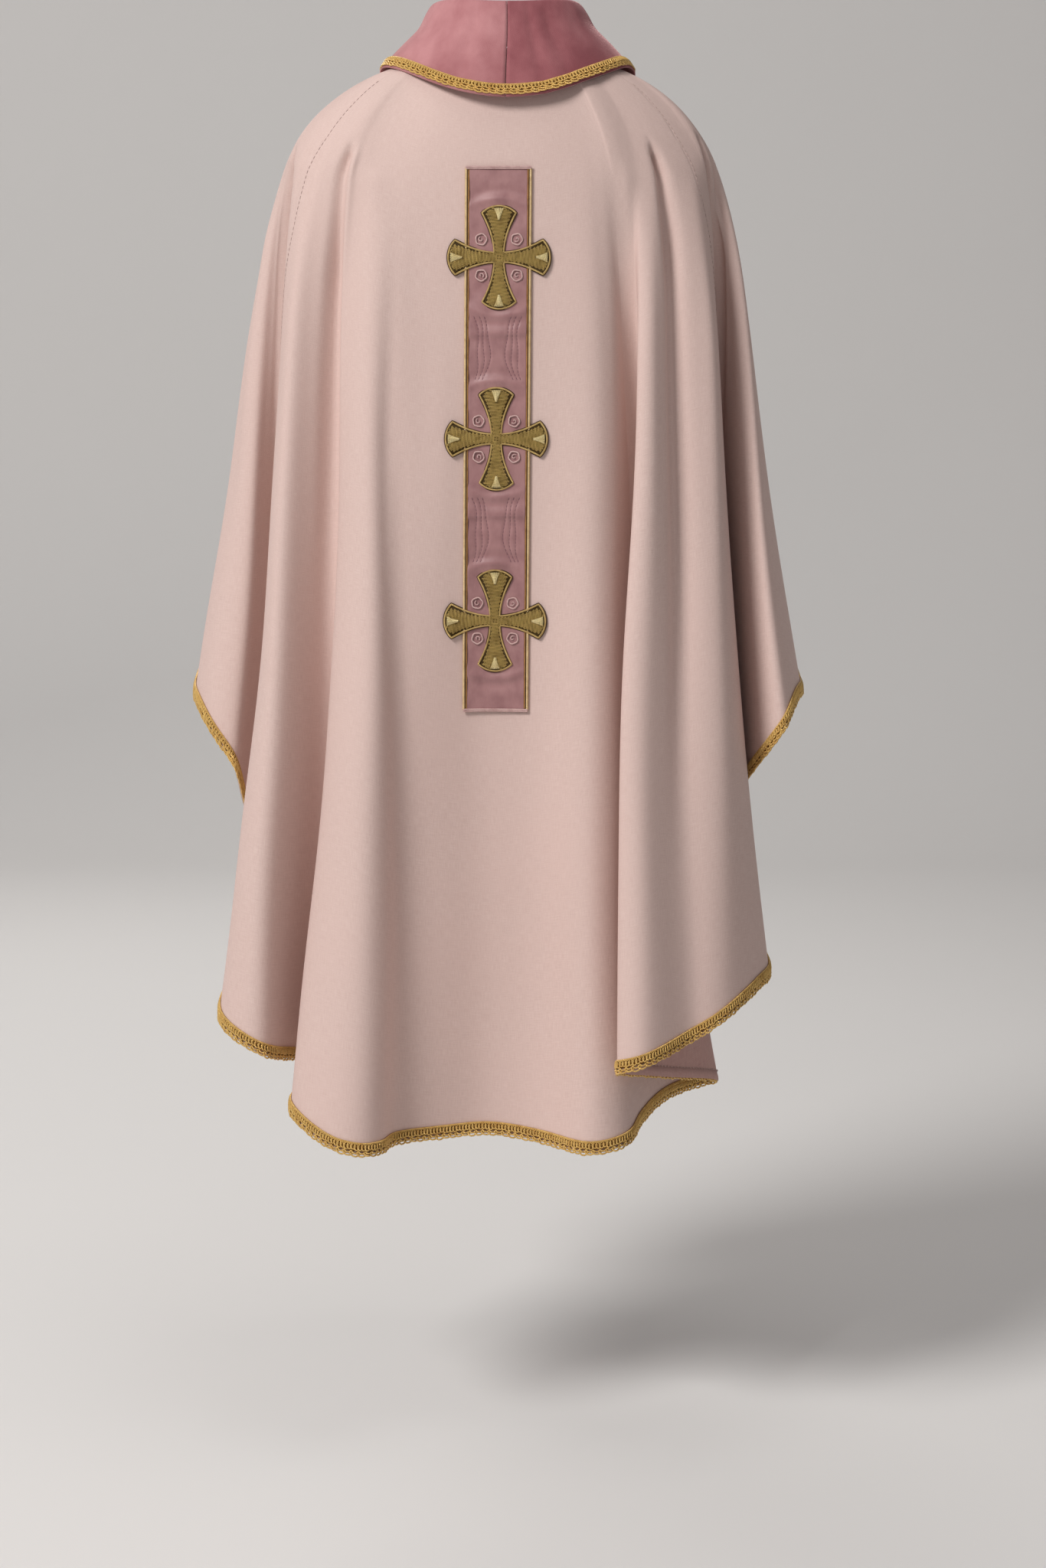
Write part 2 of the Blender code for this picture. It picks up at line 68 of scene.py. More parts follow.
# A row that leaves out `bow` and `late` has a straight fold, which starts at once.
Fold = namedtuple("Fold", "name turn x y z bow late", defaults=(0.0, 1.0))
BACK_FOLDS = [
    Fold("left_arm", -92, -0.365, 0.030, -0.695),
    Fold("left_arm_round", -87, -0.356, -0.014, -0.709),
    Fold("left_arm_face", -83.5, -0.338, -0.040, -0.736),
    Fold("left_arm_turn", -80.5, -0.313, -0.048, -0.772),
    Fold("left_arm_inside", -78.5, -0.303, -0.010, -0.832, 0.0, 1.3),
    Fold("left_pocket", -76.5, -0.274, 0.040, -0.909, 0.0, 1.4),
    Fold("left_pocket_wall", -73, -0.247, 0.028, -0.944, 0.0, 1.4),
    Fold("left_lobe_edge", -64.5, -0.329, -0.130, -1.045, 0.0, 1.35),
    Fold("left_lobe", -54, -0.276, -0.184, -1.079, -0.006, 1.0),
    Fold("left_valley", -44.5, -0.226, -0.082, -1.109, 0.0, 1.6),
    Fold("left_valley_wall", -41, -0.196, -0.088, -1.132, 0.0, 1.6),
    Fold("inner_edge", -37, -0.246, -0.192, -1.138, 0.0, 1.6),
    Fold("inner_lobe", -32, -0.196, -0.252, -1.168, 0.0, 1.2),
    Fold("inner_round", -27, -0.160, -0.257, -1.176),
    Fold("inner_turn", -22.5, -0.138, -0.238, -1.177),
    Fold("inner_step", -18, -0.124, -0.201, -1.176),
    Fold("centre_left", -11, -0.074, -0.177, -1.175),
    Fold("centre_hollow", -4, -0.020, -0.162, -1.174),
    Fold("centre_right", 6, 0.037, -0.178, -1.180),
    Fold("centre_ridge", 17, 0.091, -0.229, -1.182),
    Fold("ridge_turn", 20.5, 0.132, -0.213, -1.175, 0.0, 1.1),
    Fold("pocket_wall", 23, 0.150, -0.162, -1.164, 0.0, 1.15),
    Fold("pocket_inside", 25, 0.180, -0.090, -1.152, 0.0, 1.5),
    Fold("pocket_end", 26.5, 0.225, -0.014, -1.154, 0.0, 1.9),
    Fold("pocket_back", 28.5, 0.248, -0.034, -1.144, 0.0, 1.7),
    Fold("right_lobe_edge", 33.5, 0.117, -0.281, -1.078, -0.006, 1.05),
    Fold("right_lobe_front", 35.5, 0.132, -0.297, -1.072, -0.006, 1.0),
    Fold("right_lobe_nose", 38.5, 0.150, -0.299, -1.066, -0.004, 1.0),
    Fold("right_lobe_hollow", 44, 0.201, -0.250, -1.049, 0.0, 1.1),
    Fold("right_lobe_rise", 50.5, 0.226, -0.243, -1.036, 0.007, 1.0),
    Fold("right_lobe", 55.5, 0.249, -0.228, -1.022, 0.007, 0.95),
    Fold("right_lobe_turn", 59.5, 0.280, -0.178, -1.004, 0.004, 1.1),
    Fold("right_lobe_side", 62.5, 0.297, -0.112, -0.994, 0.0, 1.3),
    Fold("right_pocket_wall", 67.5, 0.230, 0.014, -0.899, 0.0, 1.2),
    Fold("right_pocket", 71.5, 0.249, 0.020, -0.864, 0.0, 1.2),
    Fold("right_pocket_out", 75, 0.270, -0.066, -0.793, 0.0, 1.2),
    Fold("right_arm_turn", 78.5, 0.287, -0.124, -0.754),
    Fold("right_arm_fold", 83, 0.308, -0.151, -0.719, 0.0, 0.9),
    Fold("right_arm_round", 87.5, 0.325, -0.110, -0.691),
]
FRONT_FOLDS = [
    Fold("right_arm", 92, 0.339, 0.030, -0.689),
    Fold("right_arm_front", 101, 0.329, 0.110, -0.660),
    Fold("right_hand_turn", 109, 0.288, 0.168, -0.715),
    Fold("right_hand_valley", 114, 0.244, 0.072, -0.835, 0.0, 1.2),
    Fold("right_hand_wall", 117.5, 0.214, 0.082, -0.880, 0.0, 1.2),
    Fold("right_fall_edge", 123, 0.268, 0.194, -0.965),
    Fold("right_fall", 133, 0.215, 0.240, -1.020),
    Fold("right_fall_valley", 140, 0.174, 0.142, -1.063, 0.0, 1.1),
    Fold("right_fall_wall", 143.5, 0.143, 0.147, -1.085, 0.0, 1.1),
    Fold("right_front_edge", 149, 0.167, 0.237, -1.108),
    Fold("right_front", 157, 0.105, 0.272, -1.135),
    Fold("front_hollow", 171, 0.040, 0.213, -1.150),
    Fold("front_middle", 183, -0.010, 0.225, -1.150),
    Fold("left_front", 196, -0.075, 0.267, -1.145),
    Fold("left_front_edge", 206, -0.129, 0.250, -1.130),
    Fold("left_fall_wall", 211, -0.116, 0.160, -1.108, 0.0, 1.1),
    Fold("left_fall_valley", 214.5, -0.147, 0.156, -1.090, 0.0, 1.1),
    Fold("left_fall_edge", 220, -0.177, 0.242, -1.065),
    Fold("left_fall", 231, -0.244, 0.217, -1.010),
    Fold("left_hand_wall", 237.5, -0.206, 0.112, -0.950, 0.0, 1.2),
    Fold("left_hand_valley", 241, -0.233, 0.090, -0.905, 0.0, 1.2),
    Fold("left_hand_turn", 248, -0.297, 0.167, -0.800),
    Fold("left_arm_front", 258, -0.347, 0.110, -0.670),
]
FOLDS = BACK_FOLDS + FRONT_FOLDS
STEPS, SOFTEN = 12, 8
YOKE_CELLS, FALL_CELLS = 24, 118
BACK_COLUMNS, FRONT_COLUMNS = 320, 190

# Creases of the cloth: where each starts and ends in degrees round the shoulders, and how far
# down, from -1 at the neck over 0 at the shoulder line to 1 at the hem. `rise` and `fade` are
# the shares of its length over which it comes in and goes out; a depth under 0 is a trough.
Crease = namedtuple("Crease", "name start end top bottom rise fade width depth")
CREASES = [
    Crease("valley_top", -42, -43.5, -0.18, 0.16, 0.15, 0.60, 0.0070, -0.0085),
    Crease("valley", -42.5, -44, 0.00, 0.62, 0.20, 0.70, 0.0125, -0.0170),
    Crease("valley_lip", -39, -40, -0.16, 0.40, 0.10, 0.60, 0.0060, 0.0025),
    Crease("outer_valley", -73.5, -71, -0.06, 0.75, 0.15, 0.60, 0.0140, -0.0120),
    Crease("outer_top", -74, -74, -0.14, 0.22, 0.20, 0.50, 0.0065, -0.0095),
    Crease("outer_lip", -84, -84, 0.02, 0.50, 0.25, 0.60, 0.0120, 0.0030),
    Crease("yoke_one", -62, -64, -0.22, 0.12, 0.40, 0.50, 0.0045, -0.0016),
    Crease("yoke_two", -53, -55, -0.26, 0.14, 0.40, 0.50, 0.0050, -0.0014),
    Crease("centre_shade", -24, -19, 0.04, 0.85, 0.30, 0.50, 0.0200, -0.0080),
    Crease("centre_swell", -10, -12, 0.10, 0.60, 0.40, 0.50, 0.0260, 0.0020),
    Crease("blade_left", -32, -28, -0.10, 0.26, 0.40, 0.50, 0.0180, 0.0030),
    Crease("blade_right", 30, 26, -0.10, 0.24, 0.40, 0.50, 0.0180, 0.0030),
    Crease("pocket_start", 27, 28, -0.04, 0.40, 0.30, 0.60, 0.0160, -0.0040),
    Crease("hollow_top", 40.5, 43.5, -0.18, 0.16, 0.12, 0.55, 0.0060, -0.0130),
    Crease("lobe_hollow", 43.5, 44, 0.00, 0.88, 0.12, 0.60, 0.0110, -0.0120),
    Crease("lobe_rise", 56, 56, 0.05, 0.60, 0.30, 0.60, 0.0130, 0.0030),
    Crease("lobe_nose", 37, 37, 0.00, 0.60, 0.30, 0.60, 0.0110, 0.0030),
    Crease("side_crease", 69, 69, -0.20, 0.20, 0.15, 0.60, 0.0045, -0.0125),
    Crease("side_top", 78.5, 76, -0.20, 0.16, 0.15, 0.60, 0.0045, -0.0110),
    Crease("side_pocket", 72, 71, 0.00, 0.62, 0.14, 0.60, 0.0100, -0.0100),
    Crease("arm_swell", 79, 79, 0.05, 0.60, 0.30, 0.60, 0.0140, 0.0030),
    Crease("elbow_left", -88, -87, 0.30, 0.75, 0.50, 0.50, 0.0200, -0.0030),
    Crease("elbow_right", 88, 87, 0.35, 0.80, 0.50, 0.50, 0.0200, -0.0030),
    Crease("front_arm_right", 107, 112, 0.02, 0.60, 0.25, 0.60, 0.0120, -0.0070),
    Crease("front_valley_right", 127, 131, 0.02, 0.55, 0.25, 0.60, 0.0120, -0.0050),
    Crease("front_fall_right", 141, 141, 0.00, 0.60, 0.20, 0.60, 0.0090, -0.0080),
    Crease("front_fall_lip", 147, 148, 0.00, 0.50, 0.20, 0.60, 0.0090, 0.0030),
    Crease("front_hollow", 169, 171, 0.05, 0.75, 0.40, 0.50, 0.0220, -0.0050),
    Crease("front_left", 186, 190, 0.10, 0.60, 0.40, 0.50, 0.0200, 0.0025),
    Crease("front_fall_left", 213, 213, 0.00, 0.62, 0.20, 0.60, 0.0090, -0.0080),
    Crease("front_lip_left", 208, 207, 0.00, 0.50, 0.20, 0.60, 0.0090, 0.0030),
    Crease("front_valley_left", 226, 224, 0.04, 0.50, 0.25, 0.60, 0.0120, -0.0045),
    Crease("front_arm_left", 243, 240, 0.02, 0.60, 0.25, 0.60, 0.0120, -0.0070),
]
# Seams that run down the back beside the shoulders: how far down, and how many degrees round.
SEAM_DOWN = (-0.95, -0.50, -0.20, 0.00, 0.06, 0.12, 0.20, 0.36)
SEAM_TURNS = {
    "left": (-50, -54, -56, -59, -62, -66, -68, -71),
    "right": (48, 52, 54, 57, 60, 62, 63, 64),
}

Ring = namedtuple("Ring", "name half_width back front z_back z_side z_front")
NECK = Ring("neck", 0.0800, -0.0600, 0.0850, 0.0300, 0.0090, -0.0450)
COLLAR = [
    Ring("seam", 0.0800, -0.0600, 0.0850, 0.0312, 0.0102, -0.0438),
    Ring("stand", 0.0800, -0.0630, 0.0850, 0.0530, 0.0400, -0.0200),
    Ring("roll_inside", 0.0810, -0.0660, 0.0870, 0.0720, 0.0640, 0.0030),
    Ring("roll_top", 0.0860, -0.0710, 0.0930, 0.0800, 0.0735, 0.0100),
    Ring("roll_outside", 0.0925, -0.0775, 0.1000, 0.0715, 0.0660, 0.0020),
    Ring("fall", 0.1020, -0.0890, 0.1130, 0.0450, 0.0500, -0.0280),
    Ring("fall_low", 0.1200, -0.1040, 0.1270, 0.0120, 0.0320, -0.0680),
    Ring("edge", 0.1440, -0.1200, 0.1430, -0.0265, 0.0060, -0.1130),
]
COLLAR_COLUMNS, COLLAR_STEPS = 96, 7
VELVET = 0.0018
COLLAR_CREASES = [
    Crease("right_one", 14, 17, 0.45, 1.0, 0.40, 0.05, 0.0060, -0.0016),
    Crease("right_two", 27, 31, 0.50, 1.0, 0.40, 0.05, 0.0080, -0.0014),
    Crease("right_three", 48, 50, 0.40, 0.9, 0.50, 0.30, 0.0100, -0.0012),
    Crease("left_one", -20, -24, 0.45, 1.0, 0.50, 0.10, 0.0090, -0.0012),
    Crease("left_two", -46, -44, 0.35, 0.9, 0.50, 0.30, 0.0120, -0.0012),
    Crease("front_right", 150, 148, 0.40, 1.0, 0.50, 0.10, 0.0100, -0.0014),
    Crease("front_left", -158, -155, 0.40, 1.0, 0.50, 0.10, 0.0090, -0.0014),
]

BRAID_WIDTH, COLLAR_BRAID_WIDTH = 0.0160, 0.0125
BRAID_UP, COLLAR_BRAID_UP, TAPE_SHARE, PITCH = 0.0135, 0.0142, 0.62, 0.0076
HEM_TURN, HEM_STITCH, SEAM_STITCH = 0.0118, 0.0075, 0.0058

BAND_TOP = (-0.0453, 0.0280, -0.1015)
BAND_BOTTOM = (-0.0492, 0.0239, -0.6983)
CORD, STITCH, BAND_OFF = 0.0055, 0.0036, 0.0014
CROSS_CENTRES = {
    "top": (-0.0082, -0.2004),
    "middle": (-0.0113, -0.3975),
    "bottom": (-0.0130, -0.5973),
}
CROSS_WAIST, CROSS_TIP, CROSS_REACH, CROSS_CROWN = 0.00525, 0.0185, 0.0480, 0.0556
CROSS_FLARE = 1.8
CROSS_OFF = 0.0024
STITCH_ROW, STITCH_STEP, STITCH_RADIUS = 0.0019, 0.0017, 0.00056
RING_PLACE, RING_RADIUS = 0.0195, 0.0058


def unit(vectors):
    return vectors / np.linalg.norm(vectors, axis=-1, keepdims=True)


def smooth_step(before, start, end, after, gaps, f):
    near, mid, far = gaps
    leave = ((start - before) / near - (end - before) / (near + mid) + (end - start) / mid) * mid
    reach = ((end - start) / mid - (after - start) / (mid + far) + (after - end) / far) * mid
    return (
        (2 * f**3 - 3 * f**2 + 1) * start
        + (f**3 - 2 * f**2 + f) * leave
        + (3 * f**2 - 2 * f**3) * end
        + (f**3 - f**2) * reach
    )


def ease(f):
    f = np.clip(f, 0, 1)
    return f * f * (3 - 2 * f)


def fold_rows():
    """The folds with `STEPS - 1` lines between each two, all the way round."""
    table = np.array([fold[1:] for fold in FOLDS], float)
    count = len(table)
    hems = table[:, 1:4]
    gaps = np.sqrt(np.linalg.norm(np.roll(hems, -1, axis=0) - hems, axis=1))

    def row(i):
        values = table[i % count].copy()
        values[0] += 360.0 * (i // count)
        return values

    rows = []
    for i in range(count):
        near = [gaps[(i + k) % count] for k in (-1, 0, 1)]
        four = [row(i + k) for k in (-1, 0, 1, 2)]
        rows += [smooth_step(*four, near, k / STEPS) for k in range(STEPS)]
    rows = np.array(rows)
    for _ in range(SOFTEN):
        back, ahead = np.roll(rows, 1, axis=0), np.roll(rows, -1, axis=0)
        back[0, 0] -= 360.0
        ahead[-1, 0] += 360.0
        rows = (back + 2 * rows + ahead) / 4
    first = rows[:1].copy()
    first[0, 0] += 360.0
    return np.concatenate([rows, first])


def around(ring, angle):
    middle, half = (ring.front + ring.back) / 2, (ring.front - ring.back) / 2
    ends = (ring.z_back + ring.z_front) / 2
    z = (ends + ring.z_side) / 2 + (ring.z_back - ring.z_front) / 2 * np.cos(angle)
    z += (ends - ring.z_side) / 2 * np.cos(2 * angle)
    x, y = ring.half_width * np.sin(angle), middle - half * np.cos(angle)
    return np.stack([x, y, z], axis=-1)


def shoulder(angle):
    side, back = np.sin(angle), np.cos(angle)
    width = np.where(side > 0, SHOULDER_RIGHT, SHOULDER_LEFT)
    depth = np.where(back > 0, SHOULDER_BACK, SHOULDER_FRONT)
    x = width * np.sign(side) * np.abs(side) ** (2 / ROUNDNESS)
    y = -depth * np.sign(back) * np.abs(back) ** (2 / ROUNDNESS)
    return np.stack([x, y, SHOULDER_Z - SHOULDER_DROP * back**2], axis=-1)


def cloth_form(values, down):
    """Points from the neck (-1) over the shoulder (0) to the hem (1), column by column."""
    angle, hem = np.radians(values[:, 0]), values[:, 1:4]
    neck, carried = around(NECK, angle), shoulder(angle)
    out = unit((carried - neck) * (1, 1, 0))
    bow = values[:, 4, None] * (4, 0, 0)
    fall = unit(hem - carried + out * FLARE + bow)
    reach = np.linalg.norm(carried - neck, axis=1)[:, None]
    leave = out * reach * (0.6 + 0.5 * np.abs(np.sin(angle)))[:, None]
    leave[:, 2] = -0.02 * reach[:, 0]
    neck, leave, carried = neck[:, None], leave[:, None], carried[:, None]
    s = (down[down < 0] + 1)[None, :, None]
    yoke = (
        (2 * s**3 - 3 * s**2 + 1) * neck
        + (s**3 - 2 * s**2 + s) * leave
        + (3 * s**2 - 2 * s**3) * carried
        + (s**3 - s**2) * (fall * reach)[:, None]
    )
    t = down[down >= 0][None, :, None]
    late = t ** values[:, 5][:, None, None]
    spread = np.concatenate([late, late, np.broadcast_to(t, late.shape)], axis=2)
    swell = out[:, None] * FLARE * t * (1 - t) ** 4 + bow[:, None] * t * (1 - t)
    return np.concatenate([yoke, carried + (hem[:, None] - carried) * spread + swell], axis=1)


def grid_normals(points):
    return unit(np.cross(np.gradient(points, axis=1), np.gradient(points, axis=0)))


def uneven(points, size, amount):
    """A slow, irregular shift of the points, with waves about `size` long."""
    x, y, z = (points / size * 2 * math.pi).transpose(2, 0, 1)
    waves = [
        np.sin(x * 0.9 + 1.3 * y + 0.31 * z + 0.4) + 0.6 * np.sin(1.7 * x - 0.6 * y + 0.83 * z + 2.1),
        np.sin(1.1 * x - y + 0.27 * z + 1.9) + 0.6 * np.sin(0.7 * x + 1.9 * y - 0.71 * z + 4.0),
        0.3 * np.sin(0.8 * x + 0.9 * y + 0.5 * z + 3.0),
    ]
    return points + np.stack(waves, axis=-1) * amount


def run_along(points, axis):
    """How far each point of a grid is along the cloth, from the grid's first edge."""
    steps = np.linalg.norm(np.diff(points, axis=axis), axis=2)
    start = np.zeros_like(steps.take([0], axis=axis))
    return np.concatenate([start, np.cumsum(steps, axis=axis)], axis=axis)


def crease(points, turns, down, creases):
    """The points with each crease pressed into or raised from them."""
    arc = run_along(points, 0)
    height = np.zeros(points.shape[:2])
    for c in creases:
        share = (down - c.top) / (c.bottom - c.top)
        strength = ease(share / c.rise) * ease((1 - share) / c.fade)
        for row in np.nonzero(strength > 0)[0]:
            place = c.start + (c.end - c.start) * share[row]
            if not turns[0] < place < turns[-1]:
                continue
            middle = np.interp(place, turns, arc[:, row])
            width = c.width * (0.55 + 0.75 * share[row])
            off = (arc[:, row] - middle) / width
            height[:, row] += c.depth * strength[row] * np.exp(-(off**2))
    return points + grid_normals(points) * height[:, :, None]


def cloth_grid(first, last, columns):
    """One panel's points, the degrees of its columns and how far down its rows are."""
    rows = fold_rows()[first * STEPS : last * STEPS + 1]
    along = np.concatenate([[0], np.cumsum(np.linalg.norm(np.diff(rows[:, 1:4], axis=0), axis=1))])
    places = np.linspace(0, along[-1], columns)
    values = np.stack([np.interp(places, along, column) for column in rows.T], axis=1)
    yoke = np.linspace(-1, 0, YOKE_CELLS, endpoint=False)
    down = np.concatenate([yoke, np.linspace(0, 1, FALL_CELLS + 1)])
    points = uneven(cloth_form(values, down), 0.31, 0.0011)
    return crease(points, values[:, 0], down, CREASES), values[:, 0], down


def quads(columns, rows, closed=False):
    i, j = np.meshgrid(
        np.arange(columns if closed else columns - 1), np.arange(rows - 1), indexing="ij"
    )
    here, there = i * rows + j, (i + 1) % columns * rows + j
    return np.stack([here, here + 1, there + 1, there], axis=-1).reshape(-1, 4)


def new_piece(name, parts, materials, replaces=(), layers=None):
    """One object from (points, faces) parts, with point attributes named in `layers`."""
    points, faces, start = [], [], 0
    for part_points, part_faces in parts:
        part_points = np.asarray(part_points).reshape(-1, 3)
        faces += [[start + int(k) for k in face] for face in part_faces]
        points.append(part_points)
        start += len(part_points)
    mesh = bpy.data.meshes.new(name)
    mesh.from_pydata(np.concatenate(points).tolist(), [], faces)
    mesh.shade_smooth()
    for layer, values in (layers or {}).items():
        attribute = mesh.attributes.new(layer, "FLOAT_VECTOR", "POINT")
        attribute.data.foreach_set("vector", np.asarray(values, np.float32).ravel())
    for material in materials:
        mesh.materials.append(material)
    obj = bpy.data.objects.new(name, mesh)
    bpy.context.scene.collection.objects.link(obj)
    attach(obj, "root")
    if replaces:
        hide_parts(*replaces)
    return obj


def thicken(obj, thickness, wrong_side=0):
    solid = obj.modifiers.new("thickness", "SOLIDIFY")
    solid.thickness, solid.offset = thickness, -1
    solid.material_offset = wrong_side


class Strip:
    """A path on the cloth with its own directions: along it, down the cloth and outwards."""

    def __init__(self, points, down, out, closed=False):
        if closed:
            points, down, out = (np.concatenate([v, v[:1]]) for v in (points, down, out))
        steps = np.linalg.norm(np.diff(points, axis=0), axis=1)
        self.place = np.concatenate([[0], np.cumsum(steps)])
        self.points, self.down, self.out = points, unit(down), unit(out)
        self.length = self.place[-1]

    def at(self, along, down, out):
        def mix(values):
            return np.stack([np.interp(along, self.place, v) for v in values.T], axis=-1)

        down, out = np.asarray(down)[..., None], np.asarray(out)[..., None]
        return mix(self.points) + unit(mix(self.down)) * down + unit(mix(self.out)) * out

    def outwards(self, along):
        return unit(np.stack([np.interp(along, self.place, v) for v in self.out.T], axis=-1))


def tube(points, out, radius, sides=6, flat=1.0, twist=0.0, strands=2, depth=0.0):
    """A thread along the points, with the share of its turn kept for its material."""
    points = np.asarray(points)
    ahead = unit(np.gradient(points, axis=0))
    side = unit(np.cross(ahead, out))
    up = np.cross(side, ahead)
    steps = np.linalg.norm(np.diff(points, axis=0), axis=1)
    along = np.concatenate([[0], np.cumsum(steps)])
    turn = np.arange(sides) / sides
    angle = 2 * math.pi * turn[None, :, None]
    size = radius
    if twist:
        wound = angle - 2 * math.pi * along[:, None, None] / twist
        size = radius * (1 + depth * np.cos(strands * wound))
    round_it = np.cos(angle) * side[:, None] + flat * np.sin(angle) * up[:, None]
    ring = points[:, None] + size * round_it
    count = len(points)
    i, k = np.meshgrid(np.arange(count - 1), np.arange(sides), indexing="ij")
    a, b = i * sides + k, i * sides + (k + 1) % sides
    faces = np.stack([a, b, b + sides, a + sides], axis=-1).reshape(-1, 4).tolist()
    faces.append(list(range(sides))[::-1])
    faces.append([(count - 1) * sides + k for k in range(sides)])
    layer = np.stack([np.repeat(along, sides), np.tile(turn, count), np.zeros(count * sides)], axis=1)
    return ring.reshape(-1, 3), faces, layer


def thread_piece(name, tubes, material, replaces=()):
    """One object from tubes, with each tube's lengths and turns for its material."""
    parts = [(points, faces) for points, faces, _ in tubes]
    thread = np.concatenate([layer for _, _, layer in tubes])
    return new_piece(name, parts, (material,), replaces, {"thread": thread})


# Materials.


class Shader:
    """A material's nodes, added one at a time."""

    def __init__(self, name):
        self.material = bpy.data.materials.new(name)
        self.material.use_nodes = True
        self.tree = self.material.node_tree
        self.base = self.tree.nodes["Principled BSDF"]

    def add(self, kind, inputs=(), **settings):
        node = self.tree.nodes.new("ShaderNode" + kind)
        for key, value in settings.items():
            setattr(node, key, value)
        for key, value in dict(inputs).items():
            self.put(node.inputs[key], value)
        return node

    def put(self, socket, value):
        if isinstance(value, bpy.types.NodeSocket):
            self.tree.links.new(value, socket)
        else:
            socket.default_value = value

    def maths(self, operation, a, b=0.0, c=0.0):
        return self.add("Math", {0: a, 1: b, 2: c}, operation=operation).outputs[0]

    def ripple(self, value, length):
        return self.maths("SINE", self.maths("MULTIPLY", value, 2 * math.pi / length))

    def span(self, value, low, high, start=0.0, end=1.0):
        """A value from low to high, turned into one from start to end."""
        return self.add("MapRange", {0: value, 1: low, 2: high, 3: start, 4: end}).outputs[0]

    def noise(self, vector, scale, detail=3.0, roughness=0.5):
        inputs = {"Vector": vector, "Scale": scale, "Detail": detail, "Roughness": roughness}
        return self.add("TexNoise", inputs).outputs["Fac"]

    def stretch(self, vector, by):
        return self.add("VectorMath", {0: vector, 1: by}, operation="MULTIPLY").outputs[0]

    def mix(self, factor, a, b):
        node = self.add("Mix", data_type="RGBA")
        self.put(node.inputs[0], factor)
        self.put(node.inputs[6], a)
        self.put(node.inputs[7], b)
        return node.outputs[2]

    def bump(self, height, distance, strength=1.0, normal=None):
        inputs = {"Height": height, "Distance": distance, "Strength": strength}
        if normal:
            inputs["Normal"] = normal
        return self.add("Bump", inputs).outputs["Normal"]

    def attribute(self, name):
        return self.add("Attribute", attribute_name=name).outputs["Vector"]

    def principled(self, **values):
        for key, value in values.items():
            self.put(self.base.inputs[key.replace("_", " ")], value)
        return self.material


def rgb(r, g, b):
    """A colour given as it shows on a screen, 0 to 255."""

    def linear(v):
        v /= 255
        return v / 12.92 if v <= 0.04045 else ((v + 0.055) / 1.055) ** 2.4

    return (linear(r), linear(g), linear(b), 1.0)


THREAD_PITCH, SEAM_WIDTH = 0.0011, 0.0022
FILL_PITCH, FILL_LENGTH = 0.0019, 0.0027


def cloth_material(name, colour, slub, shade):
    s = Shader(name)
    weave = s.attribute("weave")
    warp = s.noise(s.stretch(weave, (1500, 90, 0)), 1.0, 2.0)
    weft = s.noise(s.stretch(weave, (90, 1500, 0)), 1.0, 2.0)
    slow = s.noise(s.stretch(weave, (6, 6, 0)), 1.0, 3.0)
    threads = s.maths("ADD", warp, weft)
    contrast = s.span(threads, 0.62, 1.38)
    cloth = s.mix(contrast, slub, colour)
    tone = s.span(slow, 0.35, 0.65, 0.0, 0.35)
    cloth = s.mix(tone, cloth, shade)
    parts = s.add("SeparateXYZ", {0: weave}).outputs
    across = s.ripple(parts[0], THREAD_PITCH)
    along = s.ripple(parts[1], THREAD_PITCH)
    crossing = s.maths("MULTIPLY", across, along)
    seam = s.maths("SUBTRACT", 1.0, s.span(parts[2], 0.0, SEAM_WIDTH))
    puckers = s.noise(s.stretch(weave, (30, 160, 0)), 1.0, 2.0)
    groove = s.maths("MULTIPLY", seam, s.maths("MULTIPLY_ADD", puckers, -0.8, -0.4))
    normal = s.bump(s.maths("MULTIPLY_ADD", crossing, 0.25, threads), 0.00022, 0.7)
    normal = s.bump(slow, 0.004, 0.35, normal)
    normal = s.bump(groove, 0.0008, 0.8, normal)
    return s.principled(
        Base_Color=cloth, Roughness=0.86, Sheen_Weight=0.18, Sheen_Roughness=0.45,
        Sheen_Tint=rgb(250, 226, 220), Specular_IOR_Level=0.25, Normal=normal,
    )


def velvet_material(name, colour, light, painted_nap_sheen):
    s = Shader(name)
    weave = s.attribute("weave")
    patches = s.noise(s.stretch(weave, (16, 9, 0)), 1.0, 4.0, 0.6)
    pile = s.noise(s.stretch(weave, (1500, 700, 0)), 1.0, 2.0)
    # The nap offset sets how much of the lighter colour shows in the patches: painted sheen, different
    # for each half.
    brushed = s.span(patches, 0.36 + painted_nap_sheen, 0.66 + painted_nap_sheen)
    base = s.mix(brushed, colour, light)
    base = s.mix(s.maths("MULTIPLY", pile, 0.3), base, colour)
    normal = s.bump(pile, 0.0004, 0.8)
    normal = s.bump(patches, 0.002, 0.5, normal)
    return s.principled(
        Base_Color=base, Roughness=0.9, Sheen_Weight=0.85, Sheen_Roughness=0.35,
        Sheen_Tint=rgb(255, 205, 205), Specular_IOR_Level=0.15, Normal=normal,
    )


def satin_material(name, colour, deep):
    s = Shader(name)
    weave = s.attribute("weave")
    threads = s.noise(s.stretch(weave, (1400, 120, 0)), 1.0, 2.0)
    slow = s.noise(s.stretch(weave, (60, 45, 0)), 1.0, 3.0)
    base = s.mix(s.span(slow, 0.40, 0.75, 0.0, 0.55), colour, deep)
    base = s.mix(s.maths("MULTIPLY", threads, 0.22), base, deep)
    normal = s.bump(threads, 0.0002, 0.5)
    normal = s.bump(slow, 0.0012, 0.35, normal)
    rough = s.span(threads, 0.3, 0.7, 0.40, 0.55)
    return s.principled(
        Base_Color=base, Roughness=rough, Sheen_Weight=0.25, Sheen_Roughness=0.4,
        Anisotropic=0.3, Specular_IOR_Level=0.5, Normal=normal,
    )


